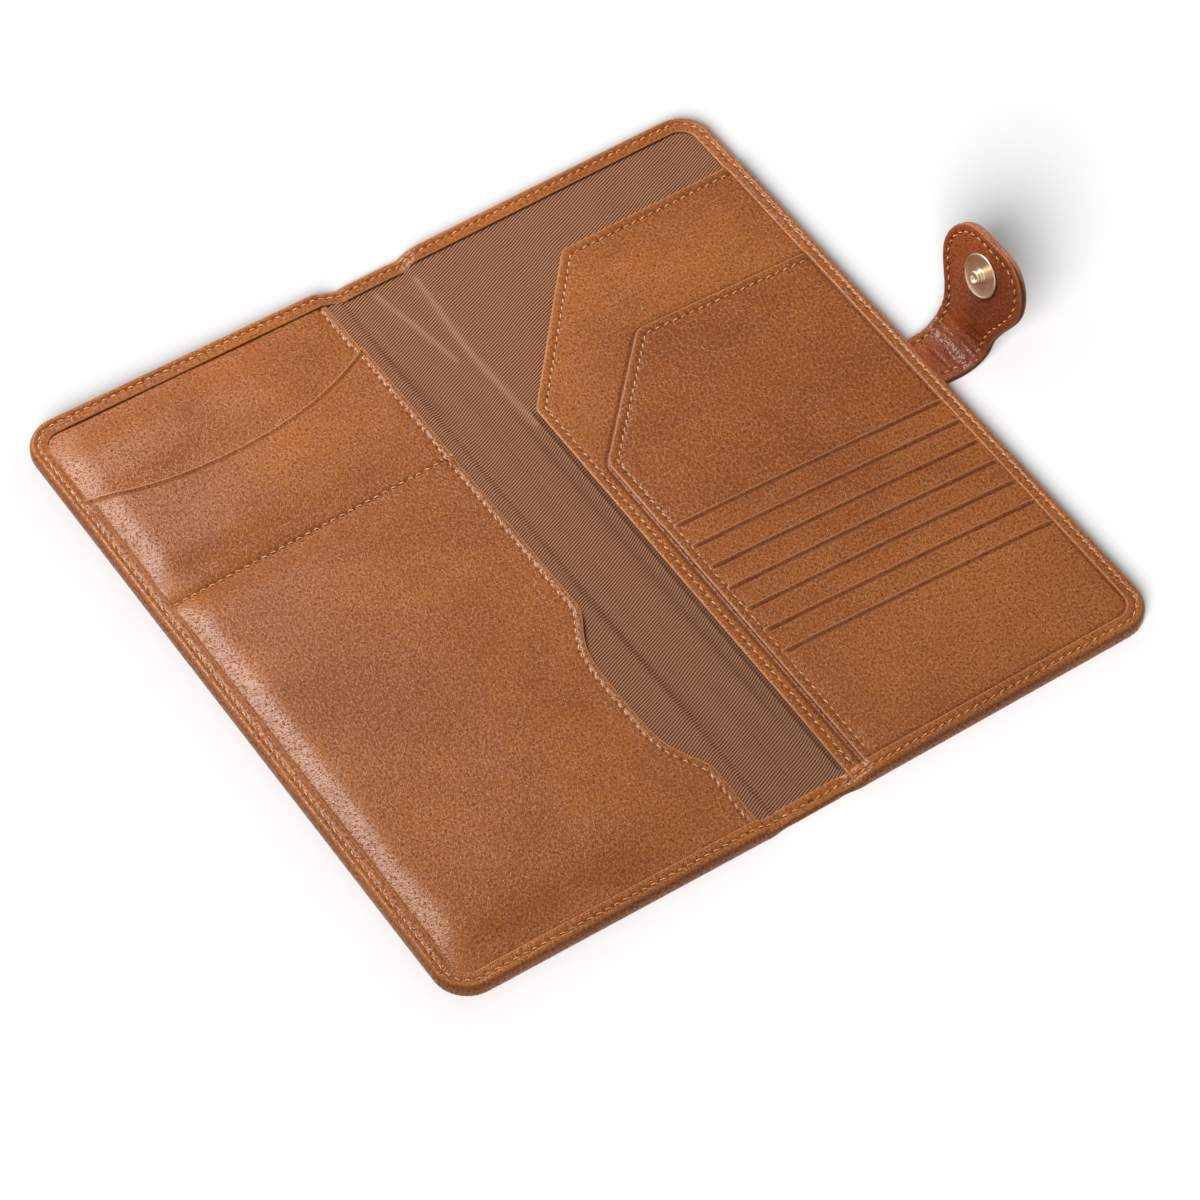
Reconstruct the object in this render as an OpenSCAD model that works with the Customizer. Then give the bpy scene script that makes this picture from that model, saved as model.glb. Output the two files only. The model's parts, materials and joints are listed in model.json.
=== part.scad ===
// Passport and ticket wallet, lying open on its back with the closing strap curled up.
// X runs across the wallet from the front cover, over the spine, to the back cover and
// its strap. Y runs along the spine, from the near edge to the far edge. Z is up.
// The origin is the middle of the spine's underside, on the surface the wallet lies on.

/* [Covers] */
// Length of the wallet along its spine
wallet_len = 238; // [232:1:250]
// Width of one cover, from its fold to its outer edge
cover_w = 110; // [106:1:122]
// Width of the spine between its two folds
spine_w = 20; // [18:0.5:22]
// Radius of the covers' outer corners
corner_r = 11; // [9:0.5:14]
// Thickness of the outer leather
leather_t = 1.2; // [1:0.1:1.5]
// Thickness of the stiffening board inside each cover
board_t = 1; // [0.8:0.1:1.4]
// Thickness of the woven lining
lining_t = 0.4; // [0.3:0.05:0.6]
// Width of the leather turned over along the edges
turn_w = 5.5; // [4.5:0.5:7]
// Thickness of the turned-over leather, pared thinner than the rest
turn_t = 1; // [0.8:0.1:1.2]
// Radius of the rolled upper edge of the border
roll_r = 1.6; // [1.2:0.1:1.8]
// Distance from a fold to the stiffening board
board_set = 2.2; // [2:0.1:3]
// Gap between the turned edge and the layers that it holds
seat_gap = 0.15; // [0.1:0.05:0.3]

/* [Front cover pockets] */
// Thickness of the pocket leather
pocket_t = 0.8; // [0.6:0.1:1]
// Distance from the fold to the passport pocket's hem
passport_set = 6.5; // [5:0.5:9]
// Distance from the near seam to the divider above the passport
divider_at = 159; // [150:1:165]
// Distance from the near seam to the lowest point of the scooped mouth
scoop_at = 194.5; // [188:0.5:198]
// Distance from the fold to the lowest point of the scoop
scoop_from_fold = 62; // [50:1:70]
// Width over which the scoop rises by scoop_rise
scoop_reach = 45; // [40:1:55]
// Rise of the scoop over its reach
scoop_rise = 9; // [5:0.5:12]
// How steeply the scoop turns up towards its ends
scoop_power = 2.3; // [2:0.1:3]
// Overlap of the backing leather under the pocket below the divider
backing_lap = 3; // [2:0.5:6]
// Depth of the thumb notch in the passport pocket's hem
thumb_depth = 8; // [5:0.5:10]
// Half the length of the thumb notch
thumb_half = 35; // [25:1:40]
// Distance from the near seam to the middle of the thumb notch
thumb_at = 58; // [50:1:70]

/* [Back cover pockets] */
// Distance from the fold to the ticket pocket's hem
ticket_set = 3.5; // [3:0.5:5]
// Depth of the ticket pocket, from the near seam to its mouth
ticket_depth = 208.5; // [205:0.5:212]
// Length of the ticket pocket's chamfer along X
ticket_cut_w = 41; // [30:1:50]
// Length of the ticket pocket's chamfer along Y
ticket_cut_h = 48; // [30:1:55]
// Distance from the fold to the card panel's hem
card_set = 9.5; // [8:0.5:12]
// Depth of the card panel, from the near seam to its mouth
panel_depth = 169.5; // [165:0.5:175]
// Length of the card panel's chamfer along X
panel_cut_w = 36; // [25:1:40]
// Length of the card panel's chamfer along Y
panel_cut_h = 38; // [25:1:45]
// Radius of the pockets' cut corners
cut_r = 5; // [2:0.5:8]
// Slant of the card slots across the cover, in degrees
slot_slant = 3; // [0:0.5:4]
// Number of card slots
slot_count = 7; // [3:1:8]
// Distance from one card slot to the next
slot_pitch = 9.1; // [8:0.1:10]
// Depth of a card slot
card_depth = 47; // [44:0.5:50]
// Thickness of the leather band that faces a card slot
band_t = 0.5; // [0.4:0.05:0.7]
// Thickness of the thin ply that runs down behind the next cards
ply_t = 0.1; // [0.08:0.02:0.16]
// Gap at the mouth of a card slot
slot_gap = 0.3; // [0.2:0.1:0.6]
// How far a ply is narrower than its band on each side
ply_inset = 2; // [1:0.5:3]

/* [Strap] */
// Distance of the strap's middle from the wallet's middle, towards the near edge
strap_off = 4; // [0:0.5:20]
// Thickness of one of the strap's two leather layers
layer_t = 1.2; // [1:0.1:1.4]
// Width of the strap where it leaves the cover
strap_w = 19.5; // [17:0.5:24]
// Width of the strap at its upper fold
neck_w = 22.5; // [20:0.5:28]
// Width of the tab
tab_w = 36.5; // [33:0.5:42]
// Straight run of the strap before it curls up
root_run = 3.5; // [1:0.5:5]
// Radius of the strap's curl, along its middle
curl_r = 11; // [9:0.5:14]
// Lean of the tab away from upright, in degrees
tab_lean = 15; // [0:1:25]
// Distance from the strap's upper fold to the snap
snap_reach = 19.4; // [17:0.2:23]
// Distance from the snap to the tip of the tab
tip_reach = 12.4; // [10:0.2:16]
// Radius of the tab's rounded corners
tab_corner_r = 13; // [10:1:14]
// Length of the pared strap end sewn inside the cover
tongue_len = 9; // [7:0.5:12]
// Running gap at the strap's two folds
fold_gap = 0.3; // [0.25:0.05:0.4]

/* [Snap] */
// Diameter of the snap's stud plate and socket
snap_d = 14; // [13:0.5:18]
// Thickness of the stud plate
plate_t = 0.8; // [0.6:0.1:1]
// Diameter of the stud's post
post_d = 4.2; // [3.6:0.1:5]
// Height of the post above its plate
post_h = 2.2; // [1.6:0.1:2.4]
// Height of the socket above the leather
socket_h = 2.6; // [2.5:0.1:3.2]
// Radial gap between the post and the socket
post_gap = 0.8; // [0.5:0.1:1]
// Thickness of the socket's sheet metal
sheet_t = 0.4; // [0.3:0.05:0.5]
// Diameter of the washers behind the leather
washer_d = 11; // [10:0.5:12]
// Width of the legs that hold the snap's halves
leg_w = 3; // [2:0.5:4]
// Spacing of the two legs
leg_span = 7; // [6:0.5:8]
// Clearance round the legs and the magnet
snap_gap = 0.1; // [0.05:0.05:0.2]

/* [Hidden] */
$fn = 48;
over = 1;
bevel_slack = 1.5;
half_len = wallet_len / 2;
seam = turn_w / 2;
near_seam = seam - half_len;
board_z = leather_t;
lining_z = board_z + board_t;
pocket_z = lining_z + lining_t;
upper_z = pocket_z + pocket_t;
turn_z = upper_z + pocket_t;
fold_z = leather_t + lining_t;
fold_x = spine_w / 2;
edge_x = fold_x + cover_w;
layer_inset = leather_t + seat_gap;
face_inset = turn_w + seat_gap;
slant = tan(slot_slant);
curve_steps = 24;
fillet_steps = 6;

// The strap's two fold axes: pivot_1 at the cover's edge, pivot_2 above the curl.
strap_z = board_z + board_t / 2;
strap_y = -strap_off;
tab_angle = 90 - tab_lean;
pivot_1 = [edge_x + layer_t + fold_gap, strap_z];
pivot_2 = pivot_1 + [root_run + curl_r * sin(tab_angle), curl_r * (1 - cos(tab_angle))];
tab_len = snap_reach + tip_reach;

// With the strap closed its upper fold stands straight above its lower one. The front
// cover then slopes down to the strap by the wedge angle, and meets the snap.
strap_rise = norm(pivot_2 - pivot_1);
snap_stack = fold_z + socket_h + plate_t + layer_t + fold_gap;
reach_x = pivot_1.x - fold_x;
reach_z = strap_z + strap_rise - fold_z - spine_w;
wedge = asin(snap_stack / norm([reach_x, reach_z])) - atan2(reach_z, reach_x);
socket_x = reach_x * cos(wedge) - reach_z * sin(wedge) - snap_reach;

// Lying open, the front cover is propped up by the socket under it.
prop_x = socket_x - snap_d / 2;
prop_z = fold_z + socket_h;
prop_tilt = atan2(prop_z, prop_x) - asin(fold_z / norm([prop_x, prop_z]));

tan_leather = [0.66, 0.38, 0.19];
strap_leather = [0.5, 0.24, 0.12];
twill = [0.42, 0.29, 0.22];
board_grey = [0.55, 0.52, 0.47];
nickel = [0.78, 0.72, 0.62];
magnet_grey = [0.25, 0.25, 0.27];

SLOTS = [for (i = [1:slot_count]) str("card_slot_", i)];

function unit(v) = v / norm(v);

// Points of a round corner of radius r at b, between the sides to a and c.
function fillet(a, b, c, r) =
    let (
        u = unit(a - b),
        v = unit(c - b),
        half = acos(u * v) / 2,
        centre = b + unit(u + v) * r / sin(half),
        p = b + u * r / tan(half) - centre,
        q = b + v * r / tan(half) - centre,
        start = atan2(p.y, p.x),
        turn = atan2(q.y, q.x) - start,
        sweep = turn > 180 ? turn - 360 : turn < -180 ? turn + 360 : turn
    )
    [for (i = [0:fillet_steps])
        centre + r * [cos(start + sweep * i / fillet_steps), sin(start + sweep * i / fillet_steps)]];

// Smooth step from 0 to 1.
function ease(t) =
    let (c = max(0, min(1, t)))
    c * c * (3 - 2 * c);

// Places a piece on the back cover, whose fold is at x = 0 in its own frame.
module on_back() {
    translate([fold_x, 0, 0])
        children();
}

// Places a piece on the front cover: the mirror image, tilted up by its snap socket.
module on_front() {
    translate([-fold_x, 0, fold_z])
        rotate([0, prop_tilt, 0])
            translate([0, 0, -fold_z])
                mirror([1, 0, 0])
                    children();
}

// Places a piece on the tab: x runs up the tab and z points out of its snap side.
module on_tab() {
    translate([pivot_2.x, strap_y, pivot_2.y])
        rotate([0, -tab_angle, 0])
            children();
}

// Extrudes a profile drawn in X and Z to both sides of y = 0.
module along_y(width) {
    translate([0, width / 2, 0])
        rotate([90, 0, 0])
            linear_extrude(width)
                children();
}

// Section through the turned edge: floor, rolled wall and the leather folded back over
// layers that reach up to under_z. x is measured inwards from the outer edge.
module turned_section(under_z) {
    top_z = under_z + turn_t;
    top_r = min(roll_r, (top_z - leather_t) / 2);
    tip_r = turn_t / 2;
    difference() {
        union() {
            translate([leather_t, leather_t])
                circle(leather_t);
            translate([top_r, top_z - top_r])
                circle(top_r);
            translate([0, leather_t])
                square([turn_w - tip_r, top_z - top_r - leather_t]);
            translate([leather_t, 0])
                square([turn_w - leather_t, leather_t]);
            translate([top_r, leather_t])
                square([turn_w - tip_r - top_r, top_z - leather_t]);
            translate([turn_w - tip_r, top_z - tip_r])
                circle(tip_r);
        }
        translate([leather_t, leather_t])
            square([turn_w, under_z - leather_t]);
    }
}

// A cover's outline from x = start, drawn in from the edges by inset.
module cover_outline(start, inset) {
    translate([start, inset - half_len])
        square([cover_w - corner_r - start, wallet_len - 2 * inset]);
    translate([start, corner_r - half_len])
        square([cover_w - inset - start, wallet_len - 2 * corner_r]);
    for (side = [-1, 1])
        translate([cover_w - corner_r, side * (half_len - corner_r)])
            circle(corner_r - inset);
}

// The turned edge along one long run in X, at the near side.
module turned_run(length, under_z) {
    translate([0, -half_len, 0])
        rotate([90, 0, 90])
            linear_extrude(length)
                turned_section(under_z);
}

// The leather shell of a cover: its floor and the edge turned over on three sides.
module cover_shell() {
    linear_extrude(leather_t)
        cover_outline(0, turn_w);
    translate([cover_w, half_len - corner_r, 0])
        mirror([1, 0, 0])
            rotate([90, 0, 0])
                linear_extrude(wallet_len - 2 * corner_r)
                    turned_section(turn_z);
    for (side = [0, 1])
        mirror([0, side, 0]) {
            turned_run(cover_w - corner_r, turn_z);
            translate([cover_w - corner_r, corner_r - half_len, 0])
                rotate([0, 0, -90])
                    rotate_extrude(angle = 90)
                        translate([corner_r, 0])
                            mirror([1, 0])
                                turned_section(turn_z);
        }
}

// Wedge removed above a fold, so that the turned edges clear each other when it closes.
module fold_relief(fold_angle) {
    height = turn_z + turn_t;
    slope = tan(fold_angle / 2 + bevel_slack);
    along_y(wallet_len + 2 * over)
        polygon([[-over, fold_z], [0, fold_z], [height * slope, fold_z + height],
                 [-over, fold_z + height]]);
}

// Lining of a cover: it lies on the board and steps down to the fold.
module cover_lining() {
    translate([0, 0, lining_z])
        linear_extrude(lining_t)
            cover_outline(board_set - lining_t, layer_inset);
    translate([0, layer_inset - half_len, leather_t]) {
        cube([board_set - lining_t, wallet_len - 2 * layer_inset, lining_t]);
        translate([board_set - lining_t - seat_gap, 0, 0])
            cube([lining_t, wallet_len - 2 * layer_inset, board_t + lining_t]);
    }
}

// Slots through the leather for the two legs of a snap, at the origin.
module leg_slots(bottom, top, gap) {
    for (side = [-1, 1])
        translate([-leg_w / 2 - gap, side * leg_span / 2 - sheet_t / 2 - gap, bottom])
            cube([leg_w + 2 * gap, sheet_t + 2 * gap, top - bottom]);
}

module at_socket() {
    translate([socket_x, strap_y, 0])
        children();
}

// ---- Back cover ----

module back_cover_leather() {
    color(tan_leather)
        difference() {
            on_back() cover_shell();
            on_back() fold_relief(90);
            translate([edge_x - turn_w, strap_y - strap_w / 2 - seat_gap, board_z])
                cube([turn_w + over, strap_w + 2 * seat_gap, board_t + seat_gap]);
        }
}

module back_board() {
    color(board_grey)
        on_back()
            translate([0, 0, board_z])
                linear_extrude(board_t)
                    difference() {
                        cover_outline(board_set, layer_inset);
                        translate([cover_w - tongue_len - seat_gap, strap_y - strap_w / 2 - seat_gap])
                            square([tongue_len + over, strap_w + 2 * seat_gap]);
                    }
}

module back_lining() {
    color(twill)
        on_back() cover_lining();
}

// Outline of a pocket with a chamfered inner corner and a mouth that slants by fall.
module chamfered_pocket(set, depth, cut_w, cut_h, fall) {
    mouth = near_seam + depth;
    near = [set, -half_len];
    hip = [set, mouth - cut_h];
    shoulder = [set + cut_w, mouth];
    outer = [cover_w, mouth - (cover_w - set - cut_w) * fall];
    intersection() {
        cover_outline(set, layer_inset);
        polygon(concat([near], fillet(near, hip, shoulder, cut_r),
                       fillet(hip, shoulder, outer, cut_r), [outer, [cover_w, -half_len]]));
    }
}

module ticket_pocket() {
    color(tan_leather)
        on_back()
            translate([0, 0, pocket_z])
                linear_extrude(pocket_t)
                    chamfered_pocket(ticket_set, ticket_depth, ticket_cut_w, ticket_cut_h, 0);
}

module card_panel() {
    color(tan_leather)
        on_back()
            translate([0, 0, upper_z])
                linear_extrude(pocket_t)
                    chamfered_pocket(card_set, panel_depth, panel_cut_w, panel_cut_h, slant);
}

// Height in Y of the mouth of card slot i at the card panel's hem.
function slot_mouth(i) = near_seam + card_depth + (slot_count - i) * slot_pitch;

// A strip across the card panel between two heights at its hem, slanting with the slots.
module slanted_strip(top, bottom, inset) {
    run = cover_w - card_set;
    intersection() {
        cover_outline(card_set + inset, face_inset + inset / 2);
        polygon([[card_set, top], [cover_w, top - run * slant],
                 [cover_w, bottom - run * slant], [card_set, bottom]]);
    }
}

// Card slot i: the leather band between two mouths, and its ply behind the next cards.
module card_slot(i) {
    mouth = slot_mouth(i);
    is_last = i == slot_count;
    band_end = is_last ? mouth - card_depth - half_len : mouth - slot_pitch + slot_gap;
    color(tan_leather)
        on_back()
            translate([0, 0, turn_z + (i - 1) * ply_t]) {
                linear_extrude(band_t)
                    slanted_strip(mouth, band_end, 0);
                if (!is_last)
                    linear_extrude(ply_t)
                        slanted_strip(band_end + seat_gap, mouth - card_depth, ply_inset);
            }
}

module strap_tongue() {
    color(strap_leather)
        translate([edge_x - tongue_len, strap_y - strap_w / 2, board_z])
            cube([tongue_len, strap_w, board_t]);
}

// ---- Spine ----

module spine_leather() {
    color(tan_leather)
        difference() {
            translate([-fold_x, 0, 0]) {
                translate([0, turn_w - half_len, 0])
                    cube([spine_w, wallet_len - 2 * turn_w, leather_t]);
                for (side = [0, 1])
                    mirror([0, side, 0])
                        turned_run(spine_w, fold_z);
            }
            translate([fold_x, 0, 0])
                mirror([1, 0, 0])
                    fold_relief(90);
            translate([-fold_x, 0, 0])
                fold_relief(90 + wedge);
        }
}

module spine_lining() {
    color(twill)
        translate([-fold_x, layer_inset - half_len, leather_t])
            cube([spine_w, wallet_len - 2 * layer_inset, lining_t]);
}

// ---- Front cover ----

module front_cover_leather() {
    color(tan_leather)
        on_front()
            difference() {
                cover_shell();
                fold_relief(90 + wedge);
                at_socket() leg_slots(-over, leather_t + over, snap_gap);
            }
}

module front_board() {
    color(board_grey)
        on_front()
            translate([0, 0, board_z])
                linear_extrude(board_t)
                    difference() {
                        cover_outline(board_set, layer_inset);
                        at_socket() circle(d = washer_d + 2 * seat_gap);
                    }
}

module front_lining() {
    color(twill)
        on_front() cover_lining();
}

// Points of the scooped mouth, from the fold to the outer edge.
function scoop() =
    [for (i = [0:curve_steps])
        let (
            x = passport_set + (cover_w - passport_set) * i / curve_steps,
            t = abs(x - scoop_from_fold) / scoop_reach
        )
        [x, near_seam + scoop_at + scoop_rise * pow(t, scoop_power)]];

// Points of the thumb notch, from its near end to its far end.
function thumb_notch() =
    [for (i = [0:curve_steps])
        let (t = 2 * i / curve_steps - 1)
        [passport_set + thumb_depth * (1 + cos(180 * pow(abs(t), scoop_power))) / 2,
         near_seam + thumb_at + thumb_half * t]];

module passport_pocket() {
    color(tan_leather)
        on_front()
            translate([0, 0, upper_z])
                linear_extrude(pocket_t)
                    intersection() {
                        cover_outline(passport_set, layer_inset);
                        polygon(concat([[passport_set, -half_len]], thumb_notch(), scoop(),
                                       [[cover_w, -half_len]]));
                    }
}

module boarding_pocket_back() {
    color(tan_leather)
        on_front()
            translate([0, 0, pocket_z])
                linear_extrude(pocket_t)
                    intersection() {
                        cover_outline(passport_set, layer_inset);
                        translate([0, near_seam + divider_at - backing_lap])
                            square([cover_w, wallet_len]);
                    }
}

module snap_socket_cap() {
    color(nickel)
        on_front()
            at_socket()
                mirror([0, 0, 1])
                    rotate_extrude()
                        difference() {
                            union() {
                                translate([post_d / 2 + post_gap, 0])
                                    square([snap_d / 2 - sheet_t - post_d / 2 - post_gap, socket_h]);
                                translate([snap_d / 2 - 2 * sheet_t, 0])
                                    square([2 * sheet_t, socket_h - sheet_t]);
                                translate([snap_d / 2 - sheet_t, socket_h - sheet_t])
                                    circle(sheet_t);
                            }
                            translate([post_d / 2 + post_gap - over, -over])
                                square([snap_d / 2 - sheet_t - post_d / 2 - post_gap + over,
                                        socket_h - sheet_t + over]);
                        }
}

module snap_socket_magnet() {
    color(magnet_grey)
        on_front()
            at_socket()
                translate([0, 0, sheet_t - socket_h])
                    difference() {
                        cylinder(h = socket_h - 2 * sheet_t, d = snap_d - 2 * sheet_t - 2 * snap_gap);
                        translate([0, 0, -over])
                            cylinder(h = socket_h + 2 * over, d = post_d + 2 * post_gap);
                    }
}

module snap_socket_plate() {
    color(nickel)
        on_front()
            at_socket() {
                translate([0, 0, -sheet_t])
                    cylinder(h = sheet_t, d = snap_d - 2 * sheet_t - 2 * snap_gap);
                leg_slots(-sheet_t / 2, leather_t + sheet_t, 0);
            }
}

module snap_socket_washer() {
    color(nickel)
        on_front()
            at_socket()
                difference() {
                    translate([0, 0, leather_t])
                        cylinder(h = sheet_t, d = washer_d);
                    leg_slots(leather_t - over, leather_t + over, snap_gap);
                }
}

// ---- Strap ----

// Half of the strap's section in X and Z: side 1 is the snap side, side -1 the outside.
module strap_half(side) {
    if (side > 0)
        translate([-over - layer_t, 0])
            square([2 * (over + layer_t), layer_t + over]);
    else
        translate([-over - layer_t, -layer_t - over])
            square([2 * (over + layer_t), layer_t + over]);
}

// Section of the curled base: a round nose on its fold, a straight run and the curl.
module base_section(side) {
    inner_r = side > 0 ? curl_r - layer_t : curl_r;
    reach = curl_r + layer_t + over;
    difference() {
        union() {
            translate(pivot_1)
                intersection() {
                    circle(layer_t);
                    strap_half(side);
                }
            translate(pivot_1 + [0, side > 0 ? 0 : -layer_t])
                square([root_run, layer_t]);
            translate(pivot_1 + [root_run, curl_r])
                intersection() {
                    difference() {
                        circle(inner_r + layer_t);
                        circle(inner_r);
                    }
                    polygon([[0, 0], [0, -reach], [reach, -reach],
                             reach * [sin(tab_angle), -cos(tab_angle)]]);
                }
        }
        translate(pivot_2)
            circle(layer_t + fold_gap);
    }
}

// Outline of the base seen from the snap side: it widens towards the upper fold.
module base_outline() {
    polygon([for (side = [-1, 1], i = [0:curve_steps])
        let (
            t = side < 0 ? i / curve_steps : 1 - i / curve_steps,
            half = (strap_w + (neck_w - strap_w) * ease(t)) / 2
        )
        [side * half, (pivot_2.y + layer_t + over) * t]]);
}

module strap_base(side) {
    translate([0, strap_y, 0])
        intersection() {
            along_y(tab_w) base_section(side);
            translate([pivot_1.x - layer_t - over, 0, 0])
                rotate([90, 0, 90])
                    linear_extrude(root_run + curl_r + 3 * layer_t + 2 * over)
                        base_outline();
        }
}

// Outline of the tab, x along it: it flares from the neck to two round corners.
module tab_outline() {
    flare = tab_len - tab_corner_r;
    half = tab_w / 2 - tab_corner_r;
    polygon([for (side = [-1, 1], i = [0:curve_steps])
        let (t = side < 0 ? i / curve_steps : 1 - i / curve_steps)
        [flare * t, side * (neck_w + (tab_w - neck_w) * ease(t)) / 2]]);
    translate([-layer_t, -neck_w / 2])
        square([layer_t + over, neck_w]);
    translate([flare, -half])
        square([tab_corner_r, 2 * half]);
    for (side = [-1, 1])
        translate([flare, side * half])
            circle(tab_corner_r);
}

// One leather layer of the tab, with its half of the round nose on the fold.
module strap_tab(side) {
    on_tab()
        intersection() {
            union() {
                along_y(tab_w)
                    intersection() {
                        circle(layer_t);
                        strap_half(side);
                    }
                translate([0, -tab_w / 2, side > 0 ? 0 : -layer_t])
                    cube([tab_len, tab_w, layer_t]);
            }
            translate([0, 0, -layer_t - over])
                linear_extrude(2 * (layer_t + over))
                    tab_outline();
        }
}

module strap_base_outer() {
    color(strap_leather) strap_base(-1);
}

module strap_base_inner() {
    color(strap_leather) strap_base(1);
}

module strap_tab_outer() {
    color(strap_leather)
        difference() {
            strap_tab(-1);
            on_tab()
                translate([snap_reach, 0, -sheet_t])
                    cylinder(h = sheet_t + over, d = washer_d + 2 * snap_gap);
        }
}

module strap_tab_inner() {
    color(strap_leather)
        difference() {
            strap_tab(1);
            on_tab()
                translate([snap_reach, 0, 0])
                    leg_slots(-over, layer_t + over, snap_gap);
        }
}

module snap_stud() {
    color(nickel)
        on_tab()
            translate([snap_reach, 0, 0]) {
                translate([0, 0, layer_t])
                    cylinder(h = plate_t, d = snap_d);
                translate([0, 0, layer_t + plate_t])
                    cylinder(h = post_h - sheet_t, d = post_d);
                translate([0, 0, layer_t + plate_t + post_h - sheet_t])
                    cylinder(h = sheet_t, d1 = post_d, d2 = post_d - 2 * sheet_t);
                leg_slots(-sheet_t, layer_t + sheet_t, 0);
            }
}

module snap_stud_washer() {
    color(nickel)
        on_tab()
            translate([snap_reach, 0, 0])
                difference() {
                    translate([0, 0, -sheet_t])
                        cylinder(h = sheet_t, d = washer_d);
                    leg_slots(-over, over, snap_gap);
                }
}

back_cover_leather();
back_board();
back_lining();
ticket_pocket();
card_panel();
for (i = [1:slot_count])
    card_slot(i);
strap_tongue();
spine_leather();
spine_lining();
front_cover_leather();
front_board();
front_lining();
boarding_pocket_back();
passport_pocket();
snap_socket_cap();
snap_socket_magnet();
snap_socket_plate();
snap_socket_washer();
strap_base_outer();
strap_base_inner();
strap_tab_outer();
strap_tab_inner();
snap_stud();
snap_stud_washer();
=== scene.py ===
"""Looks of a passport and ticket wallet that lies open with its strap curled up.

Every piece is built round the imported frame, in the order in which a leather worker puts
the wallet together. Lengths in the pieces' own sections are in millimetres.
"""

import json
import math

import bmesh
import bpy
import mathutils
import numpy as np
from mathutils.geometry import delaunay_2d_cdt
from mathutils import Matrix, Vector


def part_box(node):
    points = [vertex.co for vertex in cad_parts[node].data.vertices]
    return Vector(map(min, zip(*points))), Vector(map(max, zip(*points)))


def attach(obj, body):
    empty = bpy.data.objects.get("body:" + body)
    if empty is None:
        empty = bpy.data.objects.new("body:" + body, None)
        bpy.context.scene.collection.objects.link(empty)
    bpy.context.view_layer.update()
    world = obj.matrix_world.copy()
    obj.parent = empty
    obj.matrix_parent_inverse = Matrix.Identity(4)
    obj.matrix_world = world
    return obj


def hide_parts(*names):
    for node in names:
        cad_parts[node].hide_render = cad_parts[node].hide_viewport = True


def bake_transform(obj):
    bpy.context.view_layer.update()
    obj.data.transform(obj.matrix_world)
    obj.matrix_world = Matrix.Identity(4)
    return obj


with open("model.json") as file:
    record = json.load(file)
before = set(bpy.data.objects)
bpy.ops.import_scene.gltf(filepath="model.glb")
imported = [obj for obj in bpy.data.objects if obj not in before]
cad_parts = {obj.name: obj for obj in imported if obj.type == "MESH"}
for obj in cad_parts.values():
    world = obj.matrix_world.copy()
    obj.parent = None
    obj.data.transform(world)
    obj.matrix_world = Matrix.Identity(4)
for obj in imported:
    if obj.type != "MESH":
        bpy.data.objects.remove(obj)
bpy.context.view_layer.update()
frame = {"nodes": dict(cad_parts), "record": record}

# ---- Hide: the outer leather -------------------------------------------------------
# One piece of cognac calf leather wraps both covers and the spine. Its pared edges are
# turned over the boards and lining and sewn down, with small pleats round the corners.
MM = 0.001
low = {name: np.array(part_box(name)[0]) / MM for name in frame["nodes"]}
high = {name: np.array(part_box(name)[1]) / MM for name in frame["nodes"]}

fold_x = low["back_cover_leather"][0]
cover_w = high["back_cover_leather"][0] - fold_x
half_len = high["back_cover_leather"][1]
rim_top = high["back_cover_leather"][2]
spine_rim_top = high["spine_leather"][2]
fold_z = high["spine_lining"][2]
lining_z = high["back_lining"][2]
hide_t = low["back_board"][2]
board_t = high["back_board"][2] - hide_t
pocket_t = high["ticket_pocket"][2] - low["ticket_pocket"][2]
prop_tilt = math.atan2(high["front_board"][2] - low["front_board"][2] - board_t,
                       high["front_board"][0] - low["front_board"][0])
corner_r = 11
turn_w = 5.5
turn_t = 1
seam_in = turn_w / 2
stitch_pitch = 3
pleat_pitch = 1.45
edge_step = 0.6
fold_soft = 3

FRONT, BACK = -1, 1
COVERS = ((BACK, "back"), (FRONT, "front"))


def ease(t):
    """A smooth step from 0 to 1."""
    t = np.clip(t, 0, 1)
    return t * t * (3 - 2 * t)


def bell(distance, reach):
    """A smooth bump that is 1 at no distance and fades out past its reach."""
    return np.exp(-(distance / reach) ** 2)


def on_cover(side):
    """Places a cover's own points in the row frame: u runs outwards from its fold, y along
    it and z up. The front cover is the mirror image, propped up by its snap socket."""
    def place(u, y, z):
        if side == BACK:
            return np.stack([fold_x + u, y, z], -1)
        tilt = prop_tilt * ease((u + fold_soft) / (2 * fold_soft))
        rise = z - fold_z
        return np.stack([-fold_x - u * np.cos(tilt) + rise * np.sin(tilt), y,
                         fold_z + u * np.sin(tilt) + rise * np.cos(tilt)], -1)
    return place


def build(name, points, faces, uv, material, masks=None, cut=None):
    """One closed mesh piece from points in millimetres. masks has each named mask's value at
    every point, and edges between cut points stay sharp."""
    mesh = bpy.data.meshes.new(name)
    mesh.from_pydata((points * MM).tolist(), [], faces)
    mesh.polygons.foreach_set("use_smooth", [True] * len(mesh.polygons))
    corners = np.empty(len(mesh.loops), np.int32)
    mesh.loops.foreach_get("vertex_index", corners)
    places = uv[corners].astype(np.float32)
    mesh.uv_layers.new(name="Hide").data.foreach_set("uv", places.ravel())
    for mask, values in (masks or {}).items():
        mesh.attributes.new(mask, "FLOAT", "POINT").data.foreach_set(
            "value", np.asarray(values, np.float32))
    if cut is not None:
        ends = np.empty(2 * len(mesh.edges), np.int32)
        mesh.edges.foreach_get("vertices", ends)
        sharp = np.asarray(cut)[ends.reshape(-1, 2)].all(1)
        mesh.edges.foreach_set("use_edge_sharp", sharp)
    mesh.materials.append(material)
    turned = bmesh.new()
    turned.from_mesh(mesh)
    bmesh.ops.recalc_face_normals(turned, faces=turned.faces)
    turned.to_mesh(mesh)
    turned.free()
    piece = bpy.data.objects.new(name, mesh)
    bpy.context.scene.collection.objects.link(piece)
    return piece


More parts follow.
